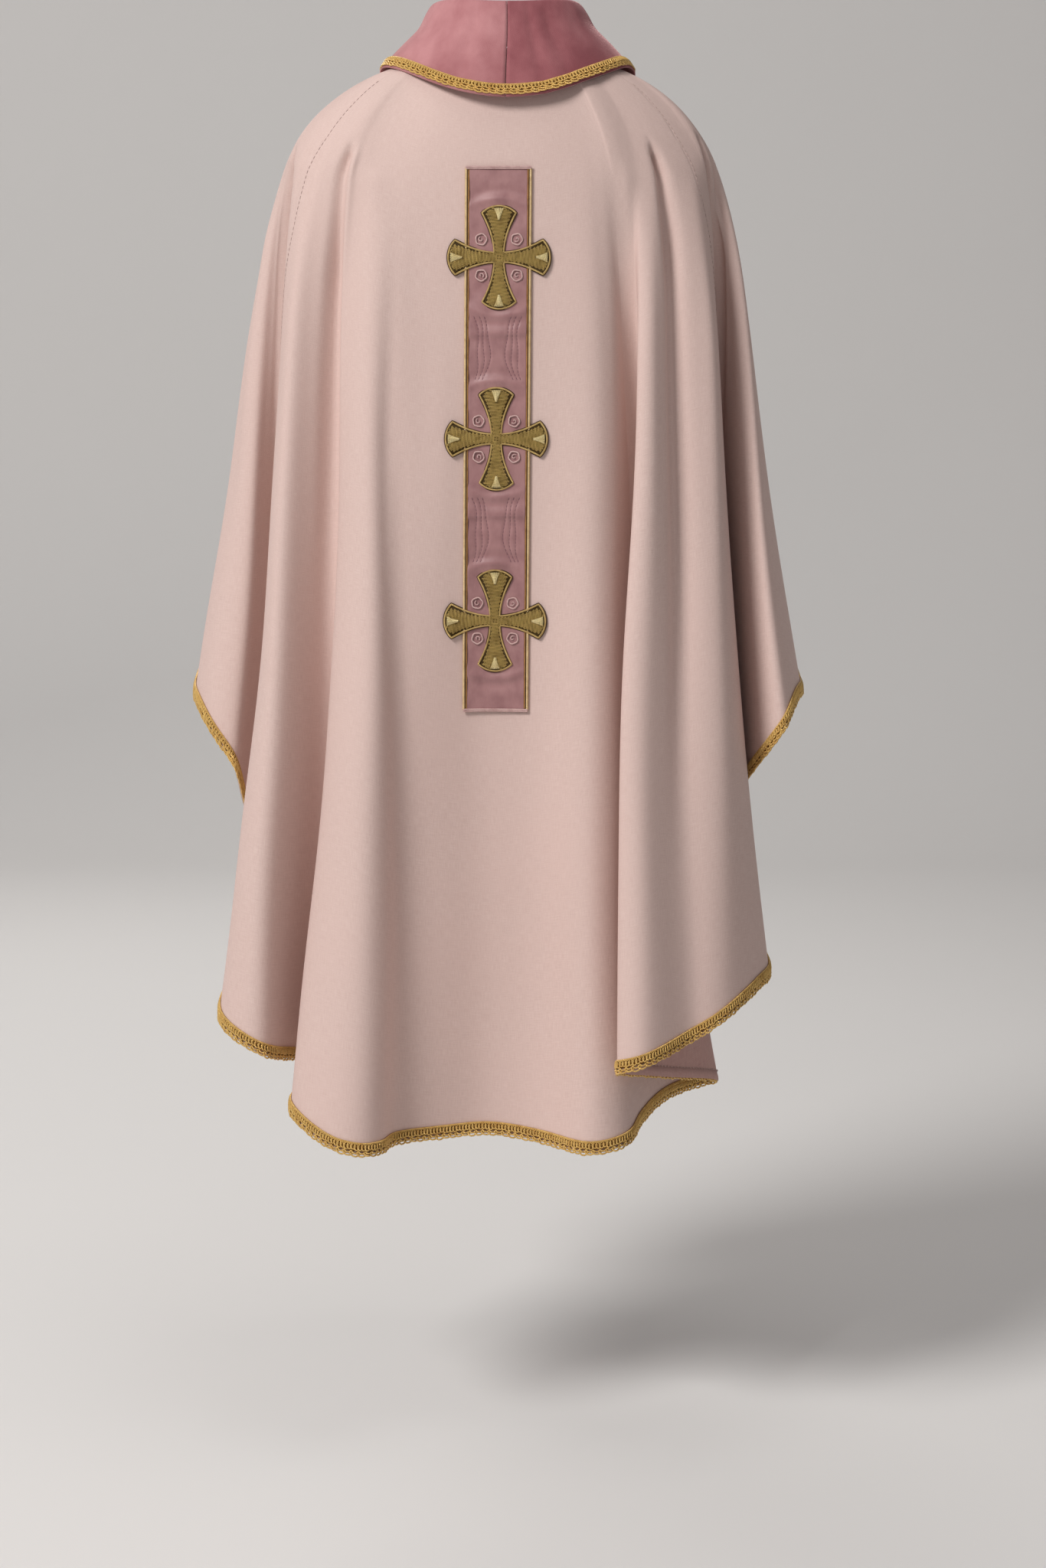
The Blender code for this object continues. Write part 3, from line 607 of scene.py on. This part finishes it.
def thread_material(name, colour, deep, metallic, roughness, pitch, strands=2.0):
    s = Shader(name)
    parts = s.add("SeparateXYZ", {0: s.attribute("thread")}).outputs
    turns = s.maths("SUBTRACT", s.maths("DIVIDE", parts[0], pitch), parts[1])
    wave = s.maths("SINE", s.maths("MULTIPLY", turns, 2 * math.pi * strands))
    place = s.add("TexCoord").outputs["Object"]
    grain = s.noise(place, 900.0, 3.0)
    slow = s.noise(place, 150.0, 3.0)
    # The grooves between the twisted strands are painted in the deeper colour: painted shade.
    ply_groove_shade = s.span(wave, -1.0, 0.2, 0.6, 0.0)
    base = s.mix(ply_groove_shade, colour, deep)
    worn = s.span(slow, 0.45, 0.75, 0.0, 0.55)
    base = s.mix(worn, base, deep)
    rough = s.span(grain, 0.3, 0.7, roughness - 0.1, roughness + 0.14)
    normal = s.bump(wave, 0.0003, 0.7)
    normal = s.bump(grain, 0.0003, 0.5, normal)
    return s.principled(Base_Color=base, Metallic=metallic, Roughness=rough, Normal=normal)


def fill_material(name, colour, deep, metallic, roughness):
    """Close stitches that lean one way and then the other, on the "stitch" attribute."""
    s = Shader(name)
    parts = s.add("SeparateXYZ", {0: s.attribute("stitch")}).outputs
    lean = s.maths("ADD", parts[0], s.maths("MULTIPLY", s.maths("ABSOLUTE", parts[1]), 0.75))
    rows = s.ripple(lean, FILL_PITCH)
    ends = s.ripple(s.maths("SUBTRACT", parts[1], s.maths("MULTIPLY", parts[0], 0.6)), FILL_LENGTH)
    place = s.add("TexCoord").outputs["Object"]
    grain = s.noise(place, 1100.0, 3.0)
    slow = s.noise(place, 150.0, 3.0)
    height = s.maths("MULTIPLY_ADD", ends, 0.5, rows)
    # The low rows and the stitch ends are painted in the deeper colour: painted shade in the grooves
    # between the stitches.
    dark = s.span(height, -1.2, 0.3, 0.8, 0.0)
    base = s.mix(dark, colour, deep)
    base = s.mix(s.maths("MULTIPLY", slow, 0.5), base, deep)
    rough = s.span(grain, 0.3, 0.7, roughness - 0.1, roughness + 0.12)
    normal = s.bump(height, 0.00045, 0.8)
    normal = s.bump(grain, 0.0003, 0.6, normal)
    return s.principled(Base_Color=base, Metallic=metallic, Roughness=rough, Normal=normal)


CLOTH_FACE = cloth_material("cloth_face", rgb(224, 200, 192), rgb(208, 180, 172), rgb(218, 190, 182))
# The wrong side is the same cloth as the face, given darker, redder colours: painted shade.
CLOTH_BACK_SHADED = cloth_material(
    "cloth_wrong_side_shaded", rgb(206, 168, 160), rgb(184, 142, 134), rgb(198, 156, 148)
)
# The two halves are the same velvet: the right is given darker colours and less of the lighter tone
# than the left, as painted shade and painted sheen for the nap lying the other way.
VELVET_LEFT = velvet_material("velvet_left", rgb(158, 98, 102), rgb(196, 140, 142), -0.06)
VELVET_RIGHT = velvet_material("velvet_right", rgb(138, 78, 84), rgb(182, 118, 122), 0.05)
SATIN = satin_material("satin", rgb(172, 128, 127), rgb(126, 82, 85))
GOLD_BRAID = thread_material("gold_braid", rgb(255, 216, 132), rgb(196, 138, 60), 0.30, 0.34, 0.0016)
GOLD_TAPE = fill_material("gold_tape", rgb(176, 124, 54), rgb(92, 56, 20), 0.3, 0.48)
GOLD_CORD = thread_material("gold_cord", rgb(240, 214, 164), rgb(176, 132, 78), 0.25, 0.42, 0.0030)
BROWN_CORD = thread_material("brown_cord", rgb(196, 146, 86), rgb(112, 70, 34), 0.3, 0.42, 0.0024)
GOLD_RIM = thread_material("gold_rim", rgb(226, 196, 128), rgb(140, 106, 50), 0.4, 0.38, 0.0022)
GOLD_FILL = fill_material("gold_fill", rgb(96, 72, 28), rgb(48, 34, 12), 0.3, 0.5)
GOLD_STITCH = thread_material("gold_stitch", rgb(222, 192, 116), rgb(134, 104, 46), 0.35, 0.34, 0.0030)
GOLD_WEDGE = thread_material("gold_wedge", rgb(255, 240, 184), rgb(196, 164, 92), 0.35, 0.28, 0.0016)
DARK_THREAD = thread_material("dark_thread", rgb(74, 50, 26), rgb(46, 30, 16), 0.1, 0.6, 0.0016)
PALE_THREAD = thread_material("pale_thread", rgb(240, 206, 200), rgb(190, 142, 140), 0.0, 0.45, 0.0016)
TONE_THREAD = thread_material("tone_thread", rgb(158, 114, 122), rgb(108, 70, 80), 0.0, 0.45, 0.0018)
SEAM_THREAD = thread_material("seam_thread", rgb(222, 196, 188), rgb(186, 156, 148), 0.0, 0.6, 0.0014)


# Cloth.


CLOTH, NO_SEAM, FAR_AWAY = 0.0013, 1000.0, 9.0


def seam_places(side, down):
    """The degrees of a seam at each row, none where it has run out."""
    places = np.interp(down, SEAM_DOWN, SEAM_TURNS[side])
    return np.where((down >= SEAM_DOWN[0]) & (down <= SEAM_DOWN[-1]), places, NO_SEAM)


def weave_layer(points, turns, seams=()):
    """Metres across and down each point, and how far it is from the nearest seam."""
    across, down = run_along(points, 0), run_along(points, 1)
    seam = np.full(across.shape, 0.05)
    for places in seams:
        pairs = zip(places, across.T)
        line = np.array([np.interp(place, turns, row, FAR_AWAY, FAR_AWAY) for place, row in pairs])
        seam = np.minimum(seam, np.abs(across - line))
    # Threads run straight down from the shoulders, so the width is measured at mid height.
    middle = across[:, [points.shape[1] // 2]] * np.ones_like(across)
    return np.stack([middle, down, seam], axis=-1).reshape(-1, 3)


def add_panel(side, first, last, columns, seams):
    points, turns, down = cloth_grid(first, last, columns)
    layers = {"weave": weave_layer(points, turns, [seam_places(seam, down) for seam in seams])}
    parts = [(points, quads(*points.shape[:2]))]
    obj = new_piece(
        side + "_cloth", parts, (CLOTH_FACE, CLOTH_BACK_SHADED), [side + "_panel"], layers
    )
    thicken(obj, CLOTH, wrong_side=1)
    return obj, points, turns, down


def braid_pieces(name, strip, width, replaces):
    """A woven tape with cords, teeth and chained loops on it, and scallops below."""
    repeats = round(strip.length / PITCH)
    pitch = strip.length / repeats
    tape = width * TAPE_SHARE
    count = max(2, round(strip.length / 0.006))
    along = np.linspace(0, strip.length, count)
    profile = [(0.0, 0.0002), (0.0004, 0.0010), (tape / 2, 0.0012)]
    profile += [(tape - 0.0004, 0.0010), (tape, 0.0002)]
    points = np.stack([strip.at(along, d + 0 * along, o + 0 * along) for d, o in profile], axis=1)
    layer = [(a, d, 0.0) for a in along for d, _ in profile]
    faces = quads(count, len(profile))
    base = new_piece(name, [(points, faces)], (GOLD_TAPE,), replaces, {"stitch": layer})

    def wave(steps, rounds, swing, drop, place, rise, radius, sides):
        """A cord that swings back and forth as it goes down and up, so that it makes loops."""
        turn = np.linspace(0, 2 * math.pi * rounds * repeats, steps * rounds * repeats + 1)
        step = pitch / rounds
        s = np.clip(step * turn / (2 * math.pi) - swing * step * np.sin(turn), 0, strip.length)
        uneven_drop = drop * (1 + 0.10 * np.sin(0.37 * turn) + 0.08 * np.sin(0.83 * turn + 1.0))
        d = place + uneven_drop * (0.5 - 0.5 * np.cos(turn))
        o = rise + 0.35 * radius * np.sin(turn)
        return tube(strip.at(s, d, o), strip.outwards(s), radius, sides)

    line = np.linspace(0, strip.length, max(2, round(strip.length / 0.004)))
    head = strip.at(line, 0.0007 + 0 * line, 0.0012 + 0 * line)
    cords = [
        tube(head, strip.outwards(line), 0.0009, 5),
        wave(4, 3, 0.0, 0.0017, 0.0010, 0.0018, 0.0007, 4),
        wave(7, 2, 0.38, 0.55 * tape, 0.30 * tape, 0.0020, 0.00095, 5),
    ]
    drop = width - tape - 0.0010
    loops = [
        wave(9, 1, 0.40, drop, tape + 0.0002, 0.0011, 0.00105, 5),
        wave(7, 1, 0.10, 0.5 * drop, tape - 0.0004, 0.0016, 0.00095, 5),
    ]
    laced = thread_piece(name + "_cords", cords, GOLD_BRAID)
    scallops = thread_piece(name + "_scallops", loops, GOLD_BRAID)
    return [base, laced, scallops]


def hem_strip(points):
    """The path of the hem's braid: its top edge, on the outside of the cloth."""
    normals = grid_normals(points)
    low, out = points[:, -1], normals[:, -1]
    down = unit(points[:, -1] - points[:, -3])
    return Strip(low - down * BRAID_UP, down, out)


def stitch_row(path, starts, bend, radius):
    """Short stitches on a path, each with its own bend: along, down and out from its start."""
    stitches = []
    for start in starts:
        along, down, out = np.transpose(bend)
        along = start + along
        stitches.append(tube(path.at(along, down, out), path.outwards(along), radius, 4))
    return stitches


def add_hem_turn(side, points):
    """The hem folded to the wrong side, and the stitches that hold it."""
    normals = grid_normals(points)
    inside = normals[:, -1]
    down = unit(points[:, -1] - points[:, -3])
    low = points[:, -1] - inside * 0.0015
    places = [(-0.0001, 0.0), (0.0040, 0.0004), (HEM_TURN, 0.0), (HEM_TURN + 0.0002, -0.0006)]
    grid = np.stack([low - down * up - inside * inward for up, inward in places], axis=1)
    layers = {"weave": weave_layer(grid, np.arange(len(grid)))}
    faces = quads(*grid.shape[:2])[:, ::-1]
    strip = new_piece(side + "_hem_turn", [(grid, faces)], (CLOTH_BACK_SHADED,), (), layers)
    path = Strip(low - down * (HEM_TURN - 0.0006) - inside * 0.0006, down, -inside)
    starts = np.arange(0.004, path.length - 0.004, HEM_STITCH)
    bend = [(0.0, 0.0, 0.0002), (0.0016, -0.0006, 0.0005), (0.0034, -0.0016, 0.0002)]
    stitches = stitch_row(path, starts, bend, 0.00035)
    thread = thread_piece(side + "_hem_stitches", stitches, SEAM_THREAD)
    return [strip, thread]


def seam_stitches(side, points, turns, down):
    """A row of small stitches down the seam of this side."""
    line, beside = [], []
    normals = grid_normals(points)
    out = []
    for row, place in enumerate(seam_places(side, down)):
        if place == NO_SEAM:
            continue
        column = np.interp(place, turns, np.arange(len(turns)))
        low = int(column)
        line.append(points[low, row] * (low + 1 - column) + points[low + 1, row] * (column - low))
        beside.append(points[low + 1, row] - points[low, row])
        out.append(normals[low, row])
    path = Strip(np.array(line), np.array(beside), np.array(out))
    starts = np.arange(0.075, path.length - 0.02, SEAM_STITCH)
    bend = [(0.0, 0.0012, 0.0001), (0.0018, 0.0012, 0.0004), (0.0036, 0.0012, 0.0001)]
    stitches = stitch_row(path, starts, bend, 0.00028)
    return thread_piece("seam_stitches_" + side, stitches, SEAM_THREAD)


back_cloth, back_points, back_turns, back_down = add_panel(
    "back", 0, len(BACK_FOLDS), BACK_COLUMNS, ("left", "right")
)
front_cloth, front_points, *_ = add_panel(
    "front", len(BACK_FOLDS), len(FOLDS), FRONT_COLUMNS, ()
)
back_trim = braid_pieces("back_braid", hem_strip(back_points), BRAID_WIDTH, ["hem_braid_back"])
front_trim = braid_pieces("front_braid", hem_strip(front_points), BRAID_WIDTH, ["hem_braid_front"])
back_trim += add_hem_turn("back", back_points)
front_trim += add_hem_turn("front", front_points)
for side in SEAM_TURNS:
    back_trim.append(seam_stitches(side, back_points, back_turns, back_down))


# Collar.


def collar_grid(left):
    turns = np.linspace(0.12, 179.88, COLLAR_COLUMNS)
    if left:
        turns = -turns[::-1]
    rings = [around(ring, np.radians(turns)) for ring in COLLAR]
    rings = [2 * rings[0] - rings[1]] + rings + [2 * rings[-1] - rings[-2]]
    rows = []
    for i in range(1, len(COLLAR)):
        for k in range(COLLAR_STEPS):
            rows.append(smooth_step(*rings[i - 1 : i + 3], (1, 1, 1), k / COLLAR_STEPS))
    points = np.stack(rows + [rings[-2]], axis=1)
    down = np.linspace(0, 1, points.shape[1])
    points = uneven(points, 0.12, 0.0006)
    return crease(points, turns, down, COLLAR_CREASES), turns


collar_points = {}
for side, look in (("left", VELVET_LEFT), ("right", VELVET_RIGHT)):
    points, turns = collar_grid(side == "left")
    collar_points[side] = points
    layers = {"weave": weave_layer(points, turns)}
    half = new_piece(
        "velvet_" + side, [(points, quads(*points.shape[:2]))], (look,),
        ["collar_" + side], layers,
    )
    thicken(half, VELVET)

edge = np.concatenate([collar_points["left"][1:-1], collar_points["right"][1:-1]])
edge_out = np.concatenate(
    [grid_normals(collar_points[side])[1:-1, -1] for side in ("left", "right")]
)
edge_down = unit(edge[:, -1] - edge[:, -3])
collar_strip = Strip(edge[:, -1] - edge_down * COLLAR_BRAID_UP, edge_down, edge_out, closed=True)
braid_pieces("collar_trim", collar_strip, COLLAR_BRAID_WIDTH, ["collar_braid"])


# Band, crosses and rings.


class Back:
    """The outside of the back cloth, on which the band and the crosses are laid."""

    def __init__(self, points):
        corners = [Vector(p) for p in points.reshape(-1, 3).tolist()]
        self.tree = BVHTree.FromPolygons(corners, quads(*points.shape[:2]).tolist())

    def lay(self, x, z, off):
        hit = self.tree.ray_cast(Vector((x, -1, z)), Vector((0, 1, 0)))[0]
        return (x, hit.y - off, z)


back = Back(back_points)


def band_place(across, down):
    left = BAND_TOP[0] + (BAND_BOTTOM[0] - BAND_TOP[0]) * down
    right = BAND_TOP[1] + (BAND_BOTTOM[1] - BAND_TOP[1]) * down
    return left + (right - left) * across, BAND_TOP[2] + (BAND_BOTTOM[2] - BAND_TOP[2]) * down


# The arcs of stitching between two crosses, and how much of that stretch they cross.
ARCS = [(side, step) for side in (-1, 1) for step in range(3)]
ARC_REACH = 0.86


def gap_places():
    """The middle of each stretch of satin between two crosses, and half its height."""
    places = sorted(CROSS_CENTRES.values(), key=lambda place: place[1])
    for (x, z), (high_x, high_z) in zip(places, places[1:]):
        yield (x + high_x) / 2, (z + high_z) / 2, (high_z - z) / 2 - CROSS_CROWN


def arc_x(side, step, t):
    """How far across an arc of stitches runs, t from -1 at its foot to 1 at its head."""
    spread = (0.0085 - 0.0015 * step) * t * t + 0.0012 * math.sin(5 * t + step)
    return side * (0.0085 + 0.0062 * step + spread)


def pucker(x, z):
    """How much the satin stands up or sinks at this place, in metres."""
    height = 0.0
    for cx, cz in CROSS_CENTRES.values():
        far = math.hypot(x - cx, z - cz)
        turn = math.atan2(z - cz, x - cx)
        # It heaps up in a soft arc beyond the arm above and below, with rays beside it.
        upright = abs(math.sin(turn)) ** 6
        height += upright * 0.0016 * math.exp(-(((far - 0.0635) / 0.0042) ** 2))
        height -= upright * 0.0010 * math.exp(-(((far - 0.0730) / 0.0050) ** 2))
        rays = math.sin(9 * turn + 0.8 * math.sin(3 * turn))
        height += 0.0006 * rays * math.exp(-(((far - 0.060) / 0.018) ** 2))
    for cx, cz, half in gap_places():
        t = (z - cz) / (half * ARC_REACH)
        if abs(t) < 1:
            for side, step in ARCS:
                away = (x - cx - arc_x(side, step, t)) / 0.0013
                height -= 0.0007 * (1 - t**4) * math.exp(-away * away)
        # The fold that crosses the satin below the cross above it.
        fold = (z - cz - half * 0.30 - 0.02 * (x - cx)) / 0.0030
        height += 0.0012 * math.tanh(fold) * math.exp(-((fold / 5) ** 2))
    height += 0.0003 * math.sin(150 * z + 40 * x) * math.sin(95 * x + 21 * z + 1.0)
    return height


def sheet_on_back(across, down, cells, off, shape):
    lines = []
    for a in np.linspace(*across, cells[0] + 1):
        line = []
        for d in np.linspace(*down, cells[1] + 1):
            x, z = band_place(a, d)
            line.append(back.lay(x, z, off + shape(x, z)))
        lines.append(line)
    return np.array(lines)


width, length = BAND_TOP[1] - BAND_TOP[0], BAND_TOP[2] - BAND_BOTTOM[2]
edge, stitch = 0.9 * CORD / width, STITCH / length
across, down = (edge, 1 - edge), (stitch * 0.5, 1 - stitch * 0.5)
satin = sheet_on_back(across, down, (60, 420), BAND_OFF + 0.0008, pucker)
band = new_piece(
    "band_satin", [(satin, quads(*satin.shape[:2]))], (SATIN,), ["orphrey_band"],
    {"weave": weave_layer(satin, np.arange(len(satin)))},
)
thicken(band, 0.0008)


def line_on_back(places, off):
    return np.array([back.lay(x, z, off) for x, z in places])


def cord(points, radius, twist=0.0, sides=6):
    """A cord on the back of the garment, round the points."""
    out = np.tile([0.0, -1.0, 0.0], (len(points), 1))
    return tube(points, out, radius, sides, flat=0.88, twist=twist, depth=0.09)


# Each side has a thick pale cord outside and a thin brown one inside, with a dark thread laid in the
# gap between them as painted shade.
BandCord = namedtuple("BandCord", "name inward radius twist count look")
BAND_CORDS = [
    BandCord("cord", 0.0014, 0.00135, 0.00351, 900, GOLD_CORD),
    BandCord("inner_cord", 0.0043, 0.00085, 0.00221, 600, BROWN_CORD),
    # A dark thread where the gap between the cords lies in shade: painted shade.
    BandCord("painted_gap_shade", 0.0031, 0.00050, 0.0, 600, DARK_THREAD),
]
for side in ("left", "right"):
    for kind in BAND_CORDS:
        across = kind.inward / width if side == "left" else 1 - kind.inward / width
        ends = (stitch * 0.6, 1 - stitch * 0.6)
        places = [band_place(across, d) for d in np.linspace(*ends, kind.count)]
        points = line_on_back(places, BAND_OFF + 0.0002 + 0.6 * kind.radius)
        tubes = [cord(points, kind.radius, kind.twist)]
        replaced = ["band_cord_" + side] if kind.name == "cord" else ()
        thread_piece(f"{kind.name}_{side}", tubes, kind.look, replaced)

for end, place in (("top", 0.0), ("bottom", 1.0)):
    tubes = []
    for inward in (0.0009, 0.0026):
        down = inward / length if place == 0 else 1 - inward / length
        places = [band_place(a, down) for a in np.linspace(0.01, 0.99, 90)]
        points = line_on_back(places, BAND_OFF + 0.0017)
        tubes.append(cord(points, 0.00095, 0.0022))
    thread_piece("satin_stitch_" + end, tubes, PALE_THREAD, ["band_stitch_" + end])


CROSS_BEND = (CROSS_TIP**2 + CROSS_REACH**2 - CROSS_CROWN**2) / (2 * (CROSS_REACH - CROSS_CROWN))


def cross_place(g, f):
    """A place on an arm, g from its root to its rounded end and f across it from -1 to 1."""
    half = CROSS_WAIST + (CROSS_TIP - CROSS_WAIST) * g**CROSS_FLARE
    end = CROSS_BEND + math.sqrt((CROSS_CROWN - CROSS_BEND) ** 2 - (f * CROSS_TIP) ** 2)
    return CROSS_WAIST + (end - CROSS_WAIST) * g, f * half


def turned(point, quarter):
    cos, sin = round(math.cos(quarter * math.pi / 2)), round(math.sin(quarter * math.pi / 2))
    return point[0] * cos - point[1] * sin, point[0] * sin + point[1] * cos


def padding(g, f):
    """How high the padded cross stands at this place, over its rim."""
    rim = min(max(abs(f), max(0.0, (g - 0.82) / 0.18)), 1.0)
    return 0.0016 * (1 - rim**4) + 0.0003


def in_wedge(g, f):
    return g > 0.70 and abs(f) < 0.30 * (g - 0.66) / 0.31


def add_cross(name, centre):
    def lift(place, quarter, up):
        x, z = turned(place, quarter)
        return back.lay(centre[0] + x, centre[1] + z, CROSS_OFF + up)

    parts, layer = [], []
    along, across = np.linspace(0, 1, 25), np.linspace(-1, 1, 17)
    for quarter in range(4):
        grid = [[lift(cross_place(g, f), quarter, padding(g, f)) for f in across] for g in along]
        parts.append((np.array(grid), quads(len(along), len(across))[:, ::-1]))
        layer += [(*cross_place(g, f), 0.0) for g in along for f in across]
    core = np.linspace(-CROSS_WAIST, CROSS_WAIST, 9)
    grid = [[lift((x, z), 0, padding(0, 0)) for z in core] for x in core]
    parts.append((np.array(grid), quads(9, 9)[:, ::-1]))
    layer += [(x, z, 0.0) for x in core for z in core]
    layers, replaced = {"stitch": layer}, ["cross_" + name]
    fill = new_piece("cross_fill_" + name, parts, (GOLD_FILL,), replaced, layers)
    thicken(fill, 0.0012)

    outline = []
    for quarter in range(4):
        arm = [cross_place(g, -1.0) for g in np.linspace(0, 1, 30)]
        arm += [cross_place(1.0, f) for f in np.linspace(-1, 1, 24)[1:-1]]
        arm += [cross_place(g, 1.0) for g in np.linspace(1, 0, 30)[:-1]]
        outline += [turned(p, quarter) for p in arm]
    outline = np.array(outline + outline[:1])
    for kind, radius, grow, up, look in (
        ("rim", 0.00105, 0.0, 0.0010, GOLD_RIM),
        ("outline", 0.00060, 0.0014, -0.0006, DARK_THREAD),
    ):
        ahead = np.roll(outline[:-1], -1, axis=0) - np.roll(outline[:-1], 1, axis=0)
        beside = unit(np.stack([ahead[:, 1], -ahead[:, 0]], axis=1)) * grow
        places = outline[:-1] + beside
        places = np.concatenate([places, places[:1]])
        points = np.array([back.lay(centre[0] + x, centre[1] + z, CROSS_OFF + up) for x, z in places])
        thread_piece(f"cross_{kind}_{name}", [cord(points, radius)], look)

    # Short stitches in rows that lean one way and then the other.
    stitches = []
    for quarter in range(4):
        for row, reach in enumerate(np.arange(0.0012, CROSS_CROWN - 0.0030, STITCH_ROW)):
            lean = 0.0009 if row % 2 else -0.0009
            for side in np.arange(-0.0170, 0.0171, STITCH_STEP):
                side += 0.0005 * math.sin(9.1 * row + 400 * side)
                start, end = (reach - 0.0010, side - lean), (reach + 0.0010, side + lean)
                g = (reach - CROSS_WAIST) / (CROSS_CROWN - CROSS_WAIST)
                half = CROSS_WAIST + (CROSS_TIP - CROSS_WAIST) * max(g, 0) ** CROSS_FLARE
                f = side / half
                if reach < CROSS_WAIST and abs(side) > reach or abs(f) > 1 - 0.0012 / half:
                    continue
                if in_wedge(g, f) or cross_place(0.965, f)[0] < reach:
                    continue
                up = padding(max(g, 0), f)
                bent = ((start, 0.0), ((reach, side), 0.0004), (end, 0.0))
                points = [lift(p, quarter, up + raised) for p, raised in bent]
                stitches.append(cord(np.array(points), STITCH_RADIUS, sides=4))
    thread_piece("cross_stitches_" + name, stitches, GOLD_STITCH)

    # A wedge at the end of each arm, with a ridge down its middle and a dark cord each side that
    # stands for the shade in the groove there: painted shade.
    wedges, lines = [], []
    for quarter in range(4):
        for spread in (-0.26, -0.13, 0.0, 0.13, 0.26):
            path = []
            for g in np.linspace(0.70, 0.955, 8):
                f = spread * (g - 0.68) / 0.29
                path.append(lift(cross_place(g, f), quarter, padding(g, f) + 0.0014 - abs(f) * 0.0040))
            wedges.append(cord(np.array(path), 0.00095))
        # Dark cords along both sides of the wedge: painted shade of the grooves.
        for side in (-1, 1):
            reach = np.linspace(0.68, 0.955, 8)
            path = [cross_place(g, side * 0.37 * (g - 0.66) / 0.29) for g in reach]
            path = [lift(p, quarter, 0.0018) for p in path]
            lines.append(cord(np.array(path), 0.00060))
    thread_piece("cross_wedges_" + name, wedges, GOLD_WEDGE)
    thread_piece("cross_grooves_" + name, lines, DARK_THREAD)


def add_rings(name, centre):
    places = [(-1, 1), (1, 1), (-1, -1), (1, -1)]
    for number, (side, up) in enumerate(places, 1):
        x, z = centre[0] + side * RING_PLACE, centre[1] + up * RING_PLACE

        def round_it(turns, radii):
            spots = [(x + r * math.cos(t), z + r * math.sin(t)) for t, r in zip(turns, radii)]
            return line_on_back(spots, BAND_OFF + 0.0018)

        turns = np.linspace(0, 2 * math.pi, 41)
        rim = round_it(turns, RING_RADIUS * (1.02 + 0.045 * np.sin(5 * turns + number)))
        curl = np.linspace(0.3, 5.4, 18) + 1.7 * number
        swirl = round_it(curl, 0.0030 * (1 - np.linspace(0, 0.75, 18)))
        tubes = [cord(rim, 0.00085, 0.0026), cord(swirl, 0.00062)]
        piece = f"eyelet_{name}_{number}"
        thread_piece(piece, tubes, PALE_THREAD, [f"ring_{name}_{number}"])


for place, centre in CROSS_CENTRES.items():
    add_cross(place, centre)
    add_rings(place, centre)

# Arcs stitched tone on tone between the crosses, each stitch short and sunk in the satin.
tubes = []
for middle_x, middle_z, half in gap_places():
    for side, step in ARCS:
        for t in np.arange(-0.92, 0.92, 0.105):
            points = []
            for share in (t, t + 0.035, t + 0.07):
                x, z = middle_x + arc_x(side, step, share), middle_z + half * ARC_REACH * share
                points.append(back.lay(x, z, BAND_OFF + 0.0009 + pucker(x, z)))
            tubes.append(cord(np.array(points), 0.00035, sides=4))
thread_piece("band_arcs", tubes, TONE_THREAD)


# Floor, light and camera.

FLOOR_Z = -1.52
WALL, BEND = 3.8, 1.2  # the wall stands behind every view's camera


def backdrop_material():
    s = Shader("pale_floor")
    place = s.add("TexCoord").outputs["Object"]
    cloudy = s.noise(place, 0.8, 4.0)
    grain = s.noise(place, 60.0, 3.0)
    base = s.mix(s.maths("MULTIPLY", cloudy, 0.5), rgb(232, 230, 228), rgb(222, 220, 218))
    return s.principled(Base_Color=base, Roughness=0.75, Normal=s.bump(grain, 0.001, 0.15))


run = [(-7.0, 0.0), (WALL, 0.0)]
turns = np.linspace(0.1, math.pi / 2, 16)
run += [(WALL + BEND * math.sin(a), BEND * (1 - math.cos(a))) for a in turns]
run += [(WALL + BEND, 7.0)]
points = np.array([[(x, y, FLOOR_Z + z) for y, z in run] for x in np.linspace(-9, 9, 19)])
mesh = bpy.data.meshes.new("floor")
mesh.from_pydata(points.reshape(-1, 3).tolist(), [], quads(19, len(run))[:, ::-1].tolist())
mesh.shade_smooth()
mesh.materials.append(backdrop_material())
floor = bpy.data.objects.new("floor", mesh)
bpy.context.scene.collection.objects.link(floor)


def add_light(name, place, target, size, power, colour):
    light = bpy.data.lights.new(name, "AREA")
    light.shape, light.size, light.energy, light.color = "DISK", size, power, colour
    obj = bpy.data.objects.new(name, light)
    obj.location = place
    obj.rotation_euler = (Vector(target) - Vector(place)).to_track_quat("-Z", "Y").to_euler()
    bpy.context.scene.collection.objects.link(obj)


add_light("key", (-3.7, -3.7, 3.8), (0, 0, -0.5), 2.4, 360, (1.0, 0.985, 0.97))
add_light("fill", (1.6, -4.2, 0.6), (0, 0, -0.6), 2.4, 7, (0.96, 0.98, 1.0))
add_light("top", (0.3, -0.4, 2.6), (0, 0, -0.4), 1.6, 12, (1.0, 0.98, 0.96))
add_light("behind", (-1.2, 3.2, 1.2), (0, 0, -0.6), 2.0, 30, (1.0, 0.98, 0.96))

world = bpy.data.worlds.new("studio")
bpy.context.scene.world = world
world.use_nodes = True
world.node_tree.nodes["Background"].inputs["Color"].default_value = (0.94, 0.91, 0.91, 1)
world.node_tree.nodes["Background"].inputs["Strength"].default_value = 0.20
bpy.context.scene.view_settings.view_transform = "Standard"

# The camera is where the photo's was: behind the wearer, below the collar, tilted a little down.
CAMERA_PLACE, CAMERA_DOWN = (0.018, -3.7, -0.29), math.atan2(0.51, 3.7)
CAMERA_LENS, CAMERA_SENSOR = 73.934, 36.0

camera = bpy.data.cameras.new("camera")
camera.lens, camera.sensor_width = CAMERA_LENS, CAMERA_SENSOR
camera.clip_end = 60.0
view = bpy.data.objects.new("camera", camera)
view.location = CAMERA_PLACE
view.rotation_euler = (math.pi / 2 - CAMERA_DOWN, 0, 0)
bpy.context.scene.collection.objects.link(view)
bpy.context.scene.camera = view
